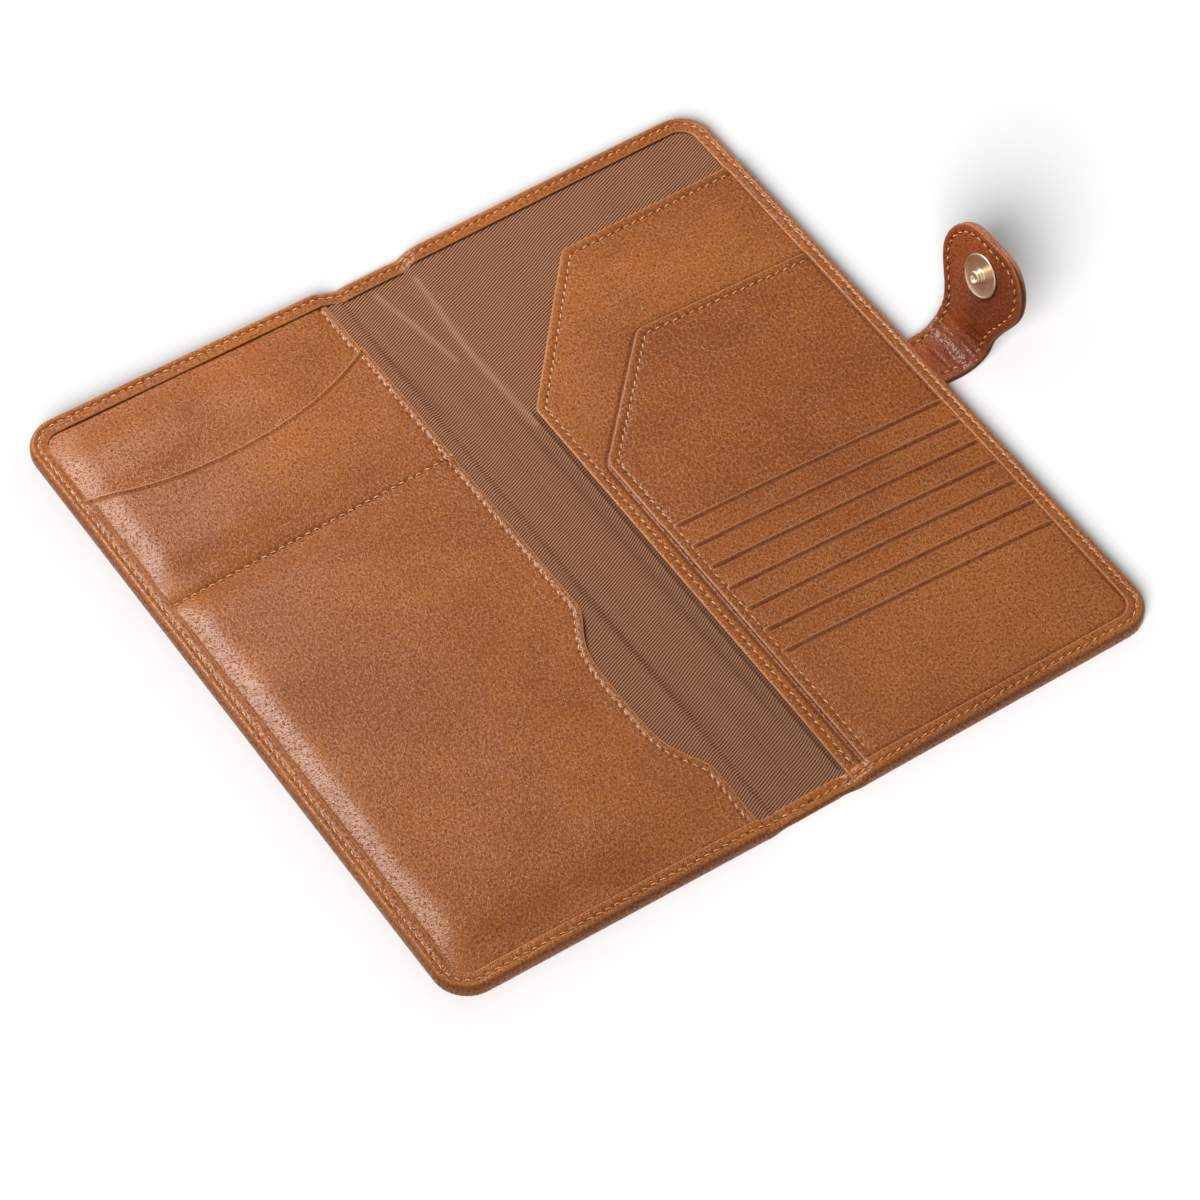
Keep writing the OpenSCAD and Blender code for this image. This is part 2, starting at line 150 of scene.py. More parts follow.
def new_material(name):
    """A new material, its node tree and its main shader."""
    material = bpy.data.materials.new(name)
    material.use_nodes = True
    return material, material.node_tree, material.node_tree.nodes["Principled BSDF"]


def feed(tree, node, inputs):
    """Sets a node's inputs to plain values, or links them to the sockets that feed them."""
    for name, value in inputs.items():
        if isinstance(value, bpy.types.NodeSocket):
            tree.links.new(value, node.inputs[name])
        else:
            node.inputs[name].default_value = value


def add(tree, kind, inputs=None, **settings):
    """Adds a shader node with its settings and inputs."""
    node = tree.nodes.new(kind)
    for name, value in settings.items():
        setattr(node, name, value)
    feed(tree, node, inputs or {})
    return node


def calc(tree, operation, *values):
    """Output of a math node."""
    return add(tree, "ShaderNodeMath", dict(enumerate(values)), operation=operation).outputs[0]


def vector(tree, operation, first, second):
    """Output of a vector math node."""
    return add(tree, "ShaderNodeVectorMath", {0: first, 1: second}, operation=operation).outputs[0]


def noise(tree, place, scale, detail=2.0, output="Fac", **inputs):
    """Noise over the flat place, with scale in swirls per millimetre."""
    return add(tree, "ShaderNodeTexNoise",
               {"Vector": place, "Scale": scale, "Detail": detail, **inputs},
               noise_dimensions="2D").outputs[output]


def turned_place(tree, place, angle):
    """The place, turned by an angle."""
    return add(tree, "ShaderNodeVectorRotate", {"Vector": place, "Angle": angle},
               rotation_type="Z_AXIS").outputs[0]


def piece_place(tree):
    """Place on the piece as it was cut, in millimetres."""
    return add(tree, "ShaderNodeUVMap", uv_map="Hide").outputs[0]


def piece_mask(tree, name):
    """Value of one of the piece's own masks."""
    return add(tree, "ShaderNodeAttribute", attribute_name=name).outputs["Fac"]


def mix_colour(tree, share, first, second):
    """Output of a colour mix. Its node's sockets 6 and 7 take the two colours."""
    colours = [value if isinstance(value, bpy.types.NodeSocket) else (*value, 1)
               for value in (first, second)]
    node = add(tree, "ShaderNodeMix", {"Factor": share, 6: colours[0], 7: colours[1]},
               data_type="RGBA")
    return node.outputs[2]


def bumped(tree, height, relief, strength=1.0):
    """Normal of a surface whose height reaches relief millimetres."""
    return add(tree, "ShaderNodeBump", {"Height": height, "Distance": relief * MM,
                                        "Strength": strength}).outputs[0]


def remap(tree, value, from_low, from_high, to_low, to_high):
    """Output of a smooth range remap."""
    return add(tree, "ShaderNodeMapRange",
               {"Value": value, "From Min": from_low, "From Max": from_high,
                "To Min": to_low, "To Max": to_high},
               interpolation_type="SMOOTHSTEP").outputs["Result"]


def group_tree(name, inputs, outputs):
    """An empty shader node group. Inputs and outputs are (name, socket kind, default)."""
    tree = bpy.data.node_groups.new(name, "ShaderNodeTree")
    for label, kind, default in inputs:
        socket = tree.interface.new_socket(label, in_out="INPUT", socket_type=kind)
        if default is not None:
            socket.default_value = default
    for label, kind in outputs:
        tree.interface.new_socket(label, in_out="OUTPUT", socket_type=kind)
    return tree, tree.nodes.new("NodeGroupInput").outputs, tree.nodes.new("NodeGroupOutput").inputs


def make_grain_group():
    """Calf grain: a broken net of fine raised veins with small dents between them, and
    wrinkles that run along the hide, or across it where it is gathered into a seam. Dent
    masks the dents, and Crest the veins and wrinkles."""
    tree, given, result = group_tree(
        "Calf grain",
        [("Place", "NodeSocketVector", None), ("Cells per mm", "NodeSocketFloat", 1.1),
         ("Wrinkle", "NodeSocketFloat", 0.4), ("Gather", "NodeSocketFloat", 0.0)],
        [("Height", "NodeSocketFloat"), ("Dent", "NodeSocketFloat"),
         ("Crest", "NodeSocketFloat")])
    hide_run = 0.36

    def stretched(scale, reach, stretch):
        """The place, shifted by up to reach millimetres in swirls of the given scale, turned
        to the way the hide runs and squeezed by stretch."""
        drift = noise(tree, given["Place"], scale, output="Color")
        centred = vector(tree, "SUBTRACT", drift, (0.5, 0.5, 0.5))
        shift = vector(tree, "MULTIPLY", centred, (2 * reach, 2 * reach, 2 * reach))
        warped = vector(tree, "ADD", given["Place"], shift)
        return vector(tree, "MULTIPLY", turned_place(tree, warped, hide_run), stretch)

    def wrinkles(stretch, width):
        """Crests of wrinkles drawn out along one way, from 0 to 1."""
        swirls = noise(tree, stretched(0.12, 2.0, stretch), given["Cells per mm"], 1.0)
        return remap(tree, calc(tree, "ABSOLUTE", calc(tree, "SUBTRACT", swirls, 0.5)),
                     0.0, width, 1.0, 0.0)

    gap = add(tree, "ShaderNodeTexVoronoi",
              {"Vector": stretched(0.8, 0.6, (1.3, 0.7, 1.0)), "Scale": given["Cells per mm"]},
              voronoi_dimensions="2D", feature="DISTANCE_TO_EDGE").outputs["Distance"]
    pores = noise(tree, given["Place"], 1.1, 1.0)
    along, across = wrinkles((1.3, 0.42, 1.0), 0.045), wrinkles((0.2, 0.9, 1.0), 0.09)
    where = remap(tree, noise(tree, given["Place"], 0.05, 1.0), 0.35, 0.65, 0.45, 1.0)
    flat_lines = calc(tree, "MULTIPLY", along, where)
    pulled = calc(tree, "SUBTRACT", across, flat_lines)
    lines = calc(tree, "MULTIPLY_ADD", pulled, given["Gather"], flat_lines)
    veins = calc(tree, "MULTIPLY", remap(tree, gap, 0.02, 0.13, 1.0, 0.0),
                 remap(tree, pores, 0.42, 0.6, 0.0, 1.0))
    dent = calc(tree, "MULTIPLY", remap(tree, gap, 0.06, 0.2, 0.0, 1.0),
                remap(tree, pores, 0.36, 0.52, 1.0, 0.0))
    cells = calc(tree, "MULTIPLY_ADD", dent, -0.35, calc(tree, "MULTIPLY_ADD", veins, 0.45, 0.4))
    height = calc(tree, "MULTIPLY_ADD", lines, given["Wrinkle"], cells)
    # These crest lines are painted paler by the leathers, as painted highlight.
    glint_lines = calc(tree, "MULTIPLY", lines, remap(tree, pores, 0.35, 0.6, 0.1, 1.0))
    crest = calc(tree, "MAXIMUM", calc(tree, "MULTIPLY", glint_lines, 0.4), veins)
    for label, value in (("Height", height), ("Dent", dent), ("Crest", crest)):
        tree.links.new(value, result[label])
    return tree


def make_tone_group():
    """Cloudy tone of aniline-dyed leather: broad drifts and finer mottling."""
    tree, given, result = group_tree(
        "Dyed tone",
        [("Place", "NodeSocketVector", None), ("Light", "NodeSocketColor", None),
         ("Deep", "NodeSocketColor", None)],
        [("Color", "NodeSocketColor")])
    broad = noise(tree, given["Place"], 0.018)
    fine = noise(tree, given["Place"], 0.09, Roughness=0.55)
    cloud = calc(tree, "MULTIPLY_ADD", fine, 0.25, calc(tree, "MULTIPLY", broad, 0.75))
    tree.links.new(mix_colour(tree, remap(tree, cloud, 0.22, 0.78, 0.0, 1.0),
                              given["Light"], given["Deep"]), result["Color"])
    return tree


grain_group = make_grain_group()
tone_group = make_tone_group()


def leather(name, light, deep, edge, cells=1.1, wrinkle=0.4, roughness=0.22, relief=0.04,
            gloss=0.19, crest_highlight=0.36):
    """A dyed leather. edge is the colour of its cut edges and pale wear and of its painted
    highlights, relief the height of its grain in millimetres and crest_highlight how much
    paler the crests of the grain are painted, as painted highlight. Its grain's dents are
    painted darker as painted shade, and its needle holes and creases dark as painted shade."""
    material, tree, shader = new_material(name)
    # The gather mask both turns the grain's wrinkles and paints gathered places paler as painted
    # sheen.
    place, gather = piece_place(tree), piece_mask(tree, "gather")
    wear_and_sheen, press_shade = piece_mask(tree, "wear_and_sheen"), piece_mask(tree, "press_shade")
    grain = add(tree, "ShaderNodeGroup",
                {"Place": place, "Gather": gather, "Cells per mm": cells, "Wrinkle": wrinkle},
                node_tree=grain_group).outputs
    tone = add(tree, "ShaderNodeGroup",
               {"Place": place, "Light": (*light, 1), "Deep": (*deep, 1)},
               node_tree=tone_group).outputs
    dent = grain["Dent"]
    # Crests of the grain are painted paler as painted highlight, and dents darker as painted shade.
    crest_highlighted = mix_colour(tree, calc(tree, "MULTIPLY", grain["Crest"], crest_highlight), tone["Color"], edge)
    dent_shaded = mix_colour(tree, calc(tree, "MULTIPLY", dent, 0.75), crest_highlighted,
                        tuple(0.5 * c for c in deep))
    # Edges are painted paler, partly as wear and partly as painted highlight, and gathered places
    # paler as painted sheen.
    stretched = calc(tree, "MAXIMUM", wear_and_sheen, calc(tree, "MULTIPLY", gather, 0.2))
    worn_and_highlit = mix_colour(tree, calc(tree, "MULTIPLY", stretched, 0.75), dent_shaded, edge)
    # Needle holes and creases are painted dark as painted shade.
    pressed = mix_colour(tree, press_shade, worn_and_highlit, (0.36 * deep[0], 0.18 * deep[1], 0.15 * deep[2]))
    matt = calc(tree, "MAXIMUM", press_shade, calc(tree, "MULTIPLY", wear_and_sheen, 0.6))
    rough = calc(tree, "MAXIMUM", calc(tree, "MULTIPLY_ADD", dent, 0.4, roughness), matt)
    feed(tree, shader, {"Base Color": pressed, "Roughness": rough, "Specular IOR Level": gloss,
                        "Normal": bumped(tree, grain["Height"], relief)})
    return material


hide_light = (0.34, 0.097, 0.014)
hide_deep = (0.225, 0.055, 0.006)
# The edge colour is that of cut edges and pale wear, and also of the painted highlights and sheen on
# grain crests, gathers and edges.
hide_edge_and_sheen = (0.56, 0.25, 0.1)
hide_leather = leather("cognac_hide", hide_light, hide_deep, hide_edge_and_sheen, cells=0.55,
                       wrinkle=0.6)

# Outlines of the pockets, whose layers raise the turned edge that holds them.
passport_set = 6.5
divider_y = 42.75
scoop_y = 78.25
scoop_from_fold, scoop_reach, scoop_rise, scoop_power = 62, 45, 9, 2.3
ticket_set = low["ticket_pocket"][0] - fold_x
ticket_mouth = high["ticket_pocket"][1]
card_set = low["card_panel"][0] - fold_x
slant = math.tan(math.radians(3))
card_shoulder = card_set + 36
card_mouth = high["card_panel"][1]


def rim_level(side, u, y):
    """Height of the layers that the turned edge lies on, along its inner side."""
    lining = fold_z + (lining_z - fold_z) * ease(u / 3)
    if side == FRONT:
        layers = ease((u - passport_set + 1) / 2) * (2 - ease((y - scoop_y + 1) / 4))
    else:
        layers = (ease((u - ticket_set + 1) / 2) * ease((ticket_mouth - y + 1) / 2)
                  + ease((u - card_set + 1) / 2)
                  * ease((card_mouth - (u - card_shoulder) * slant - y + 1) / 2))
    return lining + pocket_t * layers


def rim_stations():
    """Points along a cover's outer edge, drawn in a little at the fold, with their inward
    normals, their run along it and their distance from its round corners."""
    straight = cover_w - corner_r
    arc = corner_r * math.pi / 2
    side_run = 2 * (half_len - corner_r)
    lead = fold_x + straight
    total = 2 * (lead + arc) + side_run
    run = np.linspace(0, total, int(total / edge_step))
    middle = total / 2
    back = np.minimum(run, total - run)
    turn = np.clip((back - lead) / arc, 0, 1) * math.pi / 2
    u = np.where(back < lead, back - fold_x, straight + corner_r * np.sin(turn))
    y = half_len - corner_r + corner_r * np.cos(turn) - np.maximum(back - lead - arc, 0)
    normal_u, normal_y = -np.sin(turn), -np.cos(turn)
    near = np.where(run > middle, -1, 1)
    pinch = 0.7 * (1 - ease((u + 3) / 9)) + 0.35 * bell(u - 1, 2.5) * (back < lead)
    spots = np.stack([u, near * (y - pinch)], -1)
    normals = np.stack([normal_u, near * normal_y], -1)
    from_corner = np.maximum(np.maximum(lead - back, back - lead - arc), 0)
    return spots, normals, run, from_corner


# Section of the turned edge: (distance from the outer edge, share of the crest's height) up
# its side, distances over its crest, and (distance, drop from the crest) round its lip.
RIM_SIDE = [(7, 0), (5, 0), (3.6, 0), (3.15, 0.02), (2.75, 0.045), (2.35, 0.02), (1.8, 0),
            (1.2, 0.008), (0.7, 0.04), (0.32, 0.11), (0.08, 0.23), (0, 0.38), (0, 0.58),
            (0.08, 0.73), (0.3, 0.86), (0.65, 0.945)]
RIM_CREST = [1.1, 1.6, 2.0, 2.3, 2.52, 2.75, 2.98, 3.25, 3.7, 4.3, 4.9]
RIM_LIP = [(5.25, 0.06), (5.42, 0.2), (5.5, 0.45), (5.42, 0.78), (5.1, 0.98)]


def rim_heights(side, spots, normals):
    """Crest height of the turned edge at each station, and the height of its inner lip."""
    inner = spots + normals * turn_w
    lip = rim_level(side, inner[:, 0], inner[:, 1]) + turn_t
    u = spots[:, 0]
    full = np.minimum(rim_top, lip + 0.7)
    crest = spine_rim_top + (full - spine_rim_top) * ease((u - 0.5) / 9)
    crest = crest - 0.3 * bell(u - 0.5, 1.6)
    return crest, np.minimum(lip, crest - 0.05)


def crest_height(d, crest, lip, from_corner, run):
    """Upper surface of the turned edge at d from its outer edge."""
    slope = crest + (lip - crest) * ease((d - 1.1) / (turn_w - 1.1))
    groove = 0.3 * bell(d - seam_in, 0.5)
    pleat_depth = 0.3 * (1 - ease(from_corner / 5)) * ease((d - 0.3) / 2.2)
    pleats = pleat_depth * (0.5 - 0.5 * np.cos(run * 2 * math.pi / pleat_pitch))
    crinkles = 0.05 * (1 + np.sin(run * 3.1 + 2 * np.sin(run * 0.7))) * ease((d - 3) / 0.8)
    return slope - groove - pleats - crinkles


def rim_strip(side):
    """The turned edge from under the board over its crest and lip to the hide's inner face:
    the spot, height and needle-hole share of every point by station and column, and the
    stations' inward normals."""
    spots, normals, run, from_corner = rim_stations()
    crest, lip = rim_heights(side, spots, normals)
    needle = run / stitch_pitch
    near_hole = bell((needle - np.round(needle)) * stitch_pitch, 0.4)
    columns = []

    def column(d, z, hole=0.0):
        spot = spots + normals * (np.asarray(d)[..., None] if np.ndim(d) else d)
        columns.append((spot, np.broadcast_to(z, run.shape), np.broadcast_to(hole, run.shape)))

    pleats = 0.5 + 0.5 * np.cos(run * 2 * math.pi / pleat_pitch)
    bulge = 0.14 * (1 - ease(from_corner / 5)) * pleats
    for d, share in RIM_SIDE:
        column(d + (bulge if 0 < share else 0), share * crest)
    for d in RIM_CREST:
        hole = near_hole * bell(d - seam_in, 0.3)
        column(d, crest_height(d, crest, lip, from_corner, run) - 0.25 * hole, hole)
    for d, drop in RIM_LIP:
        column(d, crest_height(d, crest, lip, from_corner, run) - drop)
    under = np.maximum(lip - turn_t, hide_t + 0.05)
    for d in (4, 2.2, hide_t):
        column(d, under)
    column(hide_t, hide_t + 0.02)
    for d in (1.8, 7):
        column(d, hide_t)
    flat, height, holes = (np.stack(values, 1) for values in zip(*columns))
    return flat, height, holes, normals


def make_hide(side, name):
    """Half of the hide: one cover and the half of the spine next to it."""
    flat, height, holes, normals = rim_strip(side)
    stations, width = height.shape
    grid = np.arange(stations * width).reshape(stations, width)
    quads = np.stack([grid[:-1, :-1], grid[1:, :-1], grid[1:, 1:], grid[:-1, 1:]], -1)
    faces = [tuple(q) for q in quads.reshape(-1, 4)]

    ring = flat[:, 0]
    grid_spots = spot_grid(ring, 5, 2.5)
    grid_spots = grid_spots[grid_spots[:, 0] > 2 * fold_soft]
    fold_y = np.arange(4 * math.ceil((8 - half_len) / 4), half_len - 8, 4)
    fold_spots = [(u, y) for u in np.arange(-8.8, 2 * fold_soft, 0.8) for y in fold_y]
    inner = np.vstack([grid_spots, fold_spots])
    triangles = fill_outline(ring, inner)
    below = stations * width + np.arange(len(inner))
    outside = np.concatenate([grid[:, 0], below])
    inside_face = np.concatenate([grid[:, -1], below + len(inner)])
    faces += [tuple(outside[t]) for t in triangles]
    faces += [tuple(inside_face[t][::-1]) for t in triangles]
    faces.append(tuple(grid[0, ::-1]))
    faces.append(tuple(grid[-1]))
    faces.append((grid[0, 0], grid[-1, 0], grid[-1, -1], grid[0, -1]))

    spots = np.vstack([flat.reshape(-1, 2), inner, inner])
    levels = np.concatenate([height.ravel(), np.zeros(len(inner)), np.full(len(inner), hide_t)])
    points = on_cover(side)(spots[:, 0], spots[:, 1], levels)
    steps = np.linalg.norm(np.diff(np.dstack([flat, height]), axis=1), axis=-1)
    arc = np.concatenate([np.zeros((stations, 1)), np.cumsum(steps, 1)], 1)
    strip_uv = (ring[:, None] - normals[:, None] * arc[..., None]).reshape(-1, 2)
    uv = np.vstack([strip_uv, inner, inner])
    plain = np.zeros(2 * len(inner))
    # The turned edge's shoulder and lip are painted paler, partly as wear and partly as painted
    # highlight.
    wear_and_sheen = np.tile([lip_wear_and_sheen(c) for c in range(width)], stations)
    masks = {"wear_and_sheen": np.concatenate([wear_and_sheen, plain]),
             # Its needle holes are painted dark as painted shade.
             "press_shade": np.concatenate([0.8 * holes.ravel(), plain])}
    cut = np.abs(spots[:, 0] + fold_x) < 1e-6
    return build(name, points, faces, uv, hide_leather, masks, cut)


def lip_wear_and_sheen(column):
    """Wear and painted highlight of the turned edge by column, both painted paler: most on the rim's
    shoulder and on the lip.
    """
    first_lip = len(RIM_SIDE) + len(RIM_CREST)
    return {len(RIM_SIDE) - 1: 0.25, len(RIM_SIDE): 0.2, first_lip: 0.5,
            first_lip + 1: 0.9, first_lip + 2: 0.6}.get(column, 0.0)


def path_run(path):
    """Run along a path at each of its points."""
    return np.concatenate([[0], np.cumsum(np.hypot(*np.diff(path, axis=0).T))])


def to_path(points, path):
    """Distance from each point to a path of points, and the run along it to the foot."""
    start, step = path[:-1], np.diff(path, axis=0)
    length = np.maximum(np.hypot(*step.T), 1e-9)
    run = path_run(path)
    distance, along = np.empty(len(points)), np.empty(len(points))
    chunk = 2000
    for k in range(0, len(points), chunk):
        gap = points[k:k + chunk, None] - start
        share = np.clip((gap * step).sum(-1) / length ** 2, 0, 1)
        away = np.linalg.norm(gap - share[..., None] * step, axis=-1)
        nearest = away.argmin(1)
        rows = np.arange(len(nearest))
        distance[k:k + chunk] = away[rows, nearest]
        along[k:k + chunk] = run[nearest] + share[rows, nearest] * length[nearest]
    return distance, along


def inside(points, outline):
    """Whether each point lies inside a closed outline."""
    x, y = points.T
    hit = np.zeros(len(points), bool)
    for (ax, ay), (bx, by) in zip(outline, np.roll(outline, -1, axis=0)):
        if ay != by:
            hit ^= ((ay > y) != (by > y)) & (x < (bx - ax) * (y - ay) / (by - ay) + ax)
    return hit


def spot_grid(outline, spacing, clear):
    """Staggered grid points inside an outline, at least clear from it."""
    start, end = outline.min(0), outline.max(0)
    rows = np.arange(start[1] + spacing / 2, end[1], spacing)
    spots = np.array([(x + (k % 2) * spacing / 2, y) for k, y in enumerate(rows)
                      for x in np.arange(start[0] + spacing / 3, end[0], spacing)])
    spots = spots[inside(spots, outline)]
    loop = np.vstack([outline, outline[:1]])
    return spots[to_path(spots, loop)[0] > clear]


def fill_outline(outline, spots):
    """Triangles over an outline and the spots inside it, as indices into both in turn."""
    given = np.vstack([outline, spots])
    count = len(outline)
    x, y = outline.T
    turns_left = (x * np.roll(y, -1) - y * np.roll(x, -1)).sum() > 0
    loop = list(range(count)) if turns_left else list(range(count))[::-1]
    edges = [(k, (k + 1) % count) for k in range(count)]
    _, _, faces, origin, _, _ = delaunay_2d_cdt(
        [tuple(p) for p in given.tolist()], edges, [loop], 1, 1e-5)
    source = [indices[0] for indices in origin]
    return np.array([[source[i] for i in face] for face in faces])


def bend_at_fold(piece, side, cover):
    """Bakes a piece of a cover into place; it is not bent at the fold."""
    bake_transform(piece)


for side, cover in COVERS:
    hide = make_hide(side, f"hide_{cover}")
    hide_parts(f"{cover}_cover_leather", "spine_leather")
    bend_at_fold(hide, side, cover)


# ---- Boards --------------------------------------------------------------------------
# A sheet of grey millboard stiffens each cover. It is glued between hide and lining, and
# nothing of it shows.
def resample(path, spacing):
    """The same path with evenly spaced points."""
    path = np.asarray(path, float)
    run = path_run(path)
    at = np.linspace(0, run[-1], max(2, int(round(run[-1] / spacing)) + 1))
    return np.stack([np.interp(at, run, path[:, 0]), np.interp(at, run, path[:, 1])], -1)


def offset(path, distance):
    """A path moved to its left."""
    step = np.gradient(path, axis=0)
    step /= np.linalg.norm(step, axis=1)[:, None]
    return path + distance * np.stack([-step[:, 1], step[:, 0]], -1)


def near_corner(inset):
    """Points round the cover's near outer corner, set in from its edge."""
    radius = corner_r - inset
    return [(cover_w - corner_r + radius * math.sin(a), corner_r - half_len - radius * math.cos(a))
            for a in np.linspace(0, math.pi / 2, 10)]


def far_corner(inset):
    """Points round the cover's far outer corner, set in from its edge."""
    return [(u, -y) for u, y in reversed(near_corner(inset))]


def sewn_side(start, outer_y, inset):
    """Sewn sides of a piece of a cover, from its near inner corner round the cover's outer
    corners to the height outer_y on its outer side, or back to start if that is None."""
    path = [(start, inset - half_len), *near_corner(inset)]
    if outer_y is None:
        return path + far_corner(inset) + [(start, half_len - inset)]
    return path + [(cover_w - inset, outer_y)]


def edge_drop(distance, radius):
    """How far a rounded edge falls away at a distance inside it."""
    inward = np.clip(radius - distance, 0, radius)
    return radius - np.sqrt(np.maximum(radius ** 2 - inward ** 2, 0))


def edge_distance(points, edges):
    """Distance from each point to the nearest of some free edges."""
    distance = np.full(len(points), np.inf)
    for edge in edges:
        distance = np.minimum(distance, to_path(points, edge)[0])
    return distance


def shaping_spots(free, seams, creases, radius):
    """Rows of spots beside the free edges, seams and creases, to give the mesh their shape."""
    rows = [offset(path, share * radius) for path in free for share in (0.12, 0.4, 1, 2, 4)]
    for path, _, _ in seams:
        row = resample(path, edge_step)
        rows += [offset(row, shift) for shift in (-1.1, -0.6, -0.28, 0, 0.28, 0.6, 1.1)]
    for path, _, reach, _, _ in creases:
        row = resample(path, 1.2)
        rows += [offset(row, shift * reach) for shift in (-2.2, -1.2, -0.6, 0, 0.6, 1.2, 2.2)]
    return rows


def pressed_in(points, seams, creases):
    """Depth of the seams' and creases' grooves at each point, and how dark it is painted there, as
    painted shade in needle holes and creases.
    """
    groove, press_shade = np.zeros(len(points)), np.zeros(len(points))
    for path, pitch, depth in seams:
        gap, along = to_path(points, path)
        needle = along / pitch
        hole = bell((needle - np.round(needle)) * pitch, 0.45) * bell(gap, 0.4)
        press_shade = np.maximum(press_shade, hole)
        groove = np.maximum(groove, depth * bell(gap, 0.75))
    for path, depth, reach, fade, shade_darkness in creases:
        path = np.asarray(path, float)
        gap, along = to_path(points, path)
        to_end = np.minimum(along, path_run(path)[-1] - along)
        line = bell(gap, reach) * (ease(to_end / fade + 0.01) if fade else 1)
        press_shade = np.maximum(press_shade, shade_darkness * line)
        groove = np.maximum(groove, (depth - 0.25 * shade_darkness) * line)
    return groove + 0.25 * press_shade, press_shade


def cut_piece(name, place, free, sewn, top, thickness, material, seams=(), creases=(),
              grid=2.4, spots=(), under_spots=(), held_step=2, uv_of=None, wear_and_sheen=0.9,
              gather=None):
    """A piece cut from leather, cloth or board, with its free edges rounded.

    Its outline runs along the free and the sewn paths in turn, with the piece to their
    left. top(points, distance to the free edges) is its upper surface, seams are the
    (path, pitch, depth) of the rows sewn through it and creases the (path, depth, reach,
    fading length, darkness of painted shade) of the lines pressed into it; the seams' needle
    holes and the creases are painted dark as painted shade. gather(points) is how
    far it is drawn into its seams, which also paints it paler as painted sheen and highlight,
    and uv_of(points) their place in the hide or cloth."""
    free = [resample(path, edge_step) for path in free]
    sewn = [resample(path, held_step) for path in sewn]
    sides = []
    for k in range(len(sewn)):
        sides += [*free[k:k + 1], sewn[k]]
    outline = np.vstack([path[:-1] for path in sides])
    held = np.concatenate([np.full(len(path) - 1, any(path is p for p in sewn)) for path in sides])
    held |= np.roll(held, 1)
    radius = 0.46 * thickness
    near = np.vstack([np.asarray(spots, float).reshape(-1, 2),
                      *shaping_spots(free, seams, creases, radius)])
    away = to_path(near, np.vstack([outline, outline[:1]]))[0]
    near = near[inside(near, outline) & (away > 0.1 * radius)]
    grid_spots = spot_grid(outline, grid, 0.5 * grid)
    if len(near):
        cells = {(round(x / grid * 2), round(y / grid * 2)) for x, y in near}
        taken = [any((round(x / grid * 2) + i, round(y / grid * 2) + j) in cells
                     for i in (-1, 0, 1) for j in (-1, 0, 1)) for x, y in grid_spots]
        grid_spots = grid_spots[~np.array(taken, bool)]
    inner = np.vstack([near, grid_spots])
    coarse = np.vstack([spot_grid(outline, 8, 3), np.asarray(under_spots, float).reshape(-1, 2)])
    upper, lower = fill_outline(outline, inner), fill_outline(outline, coarse)

    def heights(points):
        distance = edge_distance(points, free)
        groove, press_shade = pressed_in(points, seams, creases)
        return top(points, distance) - groove, distance, press_shade

    skin = np.vstack([outline, inner])
    under = np.vstack([outline, coarse])
    z_up, d_up, press_shade = heights(skin)
    z_down, d_down, _ = heights(under)
    z_up = z_up - edge_drop(d_up, radius)
    z_down = z_down - thickness + edge_drop(d_down, radius)
    flat = np.vstack([skin, under])
    points = place(flat[:, 0], flat[:, 1], np.concatenate([z_up, z_down]))
    count, shift = len(outline), len(skin)
    faces = [tuple(t) for t in upper] + [tuple(t[::-1] + shift) for t in lower]
    faces += [(k, shift + k, shift + (k + 1) % count, (k + 1) % count) for k in range(count)]
    uv = flat if uv_of is None else uv_of(flat)
    # Free edges are painted paler, partly as wear and partly as painted highlight.
    masks = {"wear_and_sheen": np.concatenate([wear_and_sheen * bell(d_up, 0.4), wear_and_sheen * bell(d_down, 0.4)]),
             # Needle holes and creases are painted dark as painted shade.
             "press_shade": np.concatenate([0.9 * press_shade, np.zeros(len(under))])}
    if gather:
        masks["gather"] = gather(flat)
    cut = np.zeros(len(flat), bool)
    cut[:count] = cut[shift:shift + count] = held
    return build(name, points, faces, uv, material, masks, cut)


def make_millboard():
    """Grey millboard: pressed paper fibre with dark and light flecks."""
    material, tree, shader = new_material("grey_millboard")
    fibre = noise(tree, piece_place(tree), 2.4, 4.0)
    flecks = remap(tree, fibre, 0.35, 0.65, 0.0, 1.0)
    feed(tree, shader, {
        "Base Color": mix_colour(tree, flecks, (0.24, 0.22, 0.19), (0.36, 0.33, 0.29)),
        "Roughness": 0.85, "Normal": bumped(tree, fibre, 0.1)})
    return material


millboard = make_millboard()
board_set = low["back_board"][0] - fold_x
layer_inset = hide_t + 0.15
board_side = sewn_side(board_set, None, layer_inset)
for side, cover in COVERS:
    board = cut_piece(f"millboard_{cover}_cover", on_cover(side), [],
                      [board_side + board_side[:1]],
                      lambda points, distance: np.full(len(points), hide_t + board_t),
                      board_t, millboard, grid=12)
    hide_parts(f"{cover}_board")
    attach(board, f"{cover}_cover")


# ---- Lining --------------------------------------------------------------------------
# A brown twill of polyester lines the whole inside. It lies on the boards, dips into the
# spine and is held under the turned edge. Soft creases run along the two folds.
twill_angle = math.radians(22.4)
twill_pitch = 0.86
float_pitch = 0.7
lining_t = 0.4


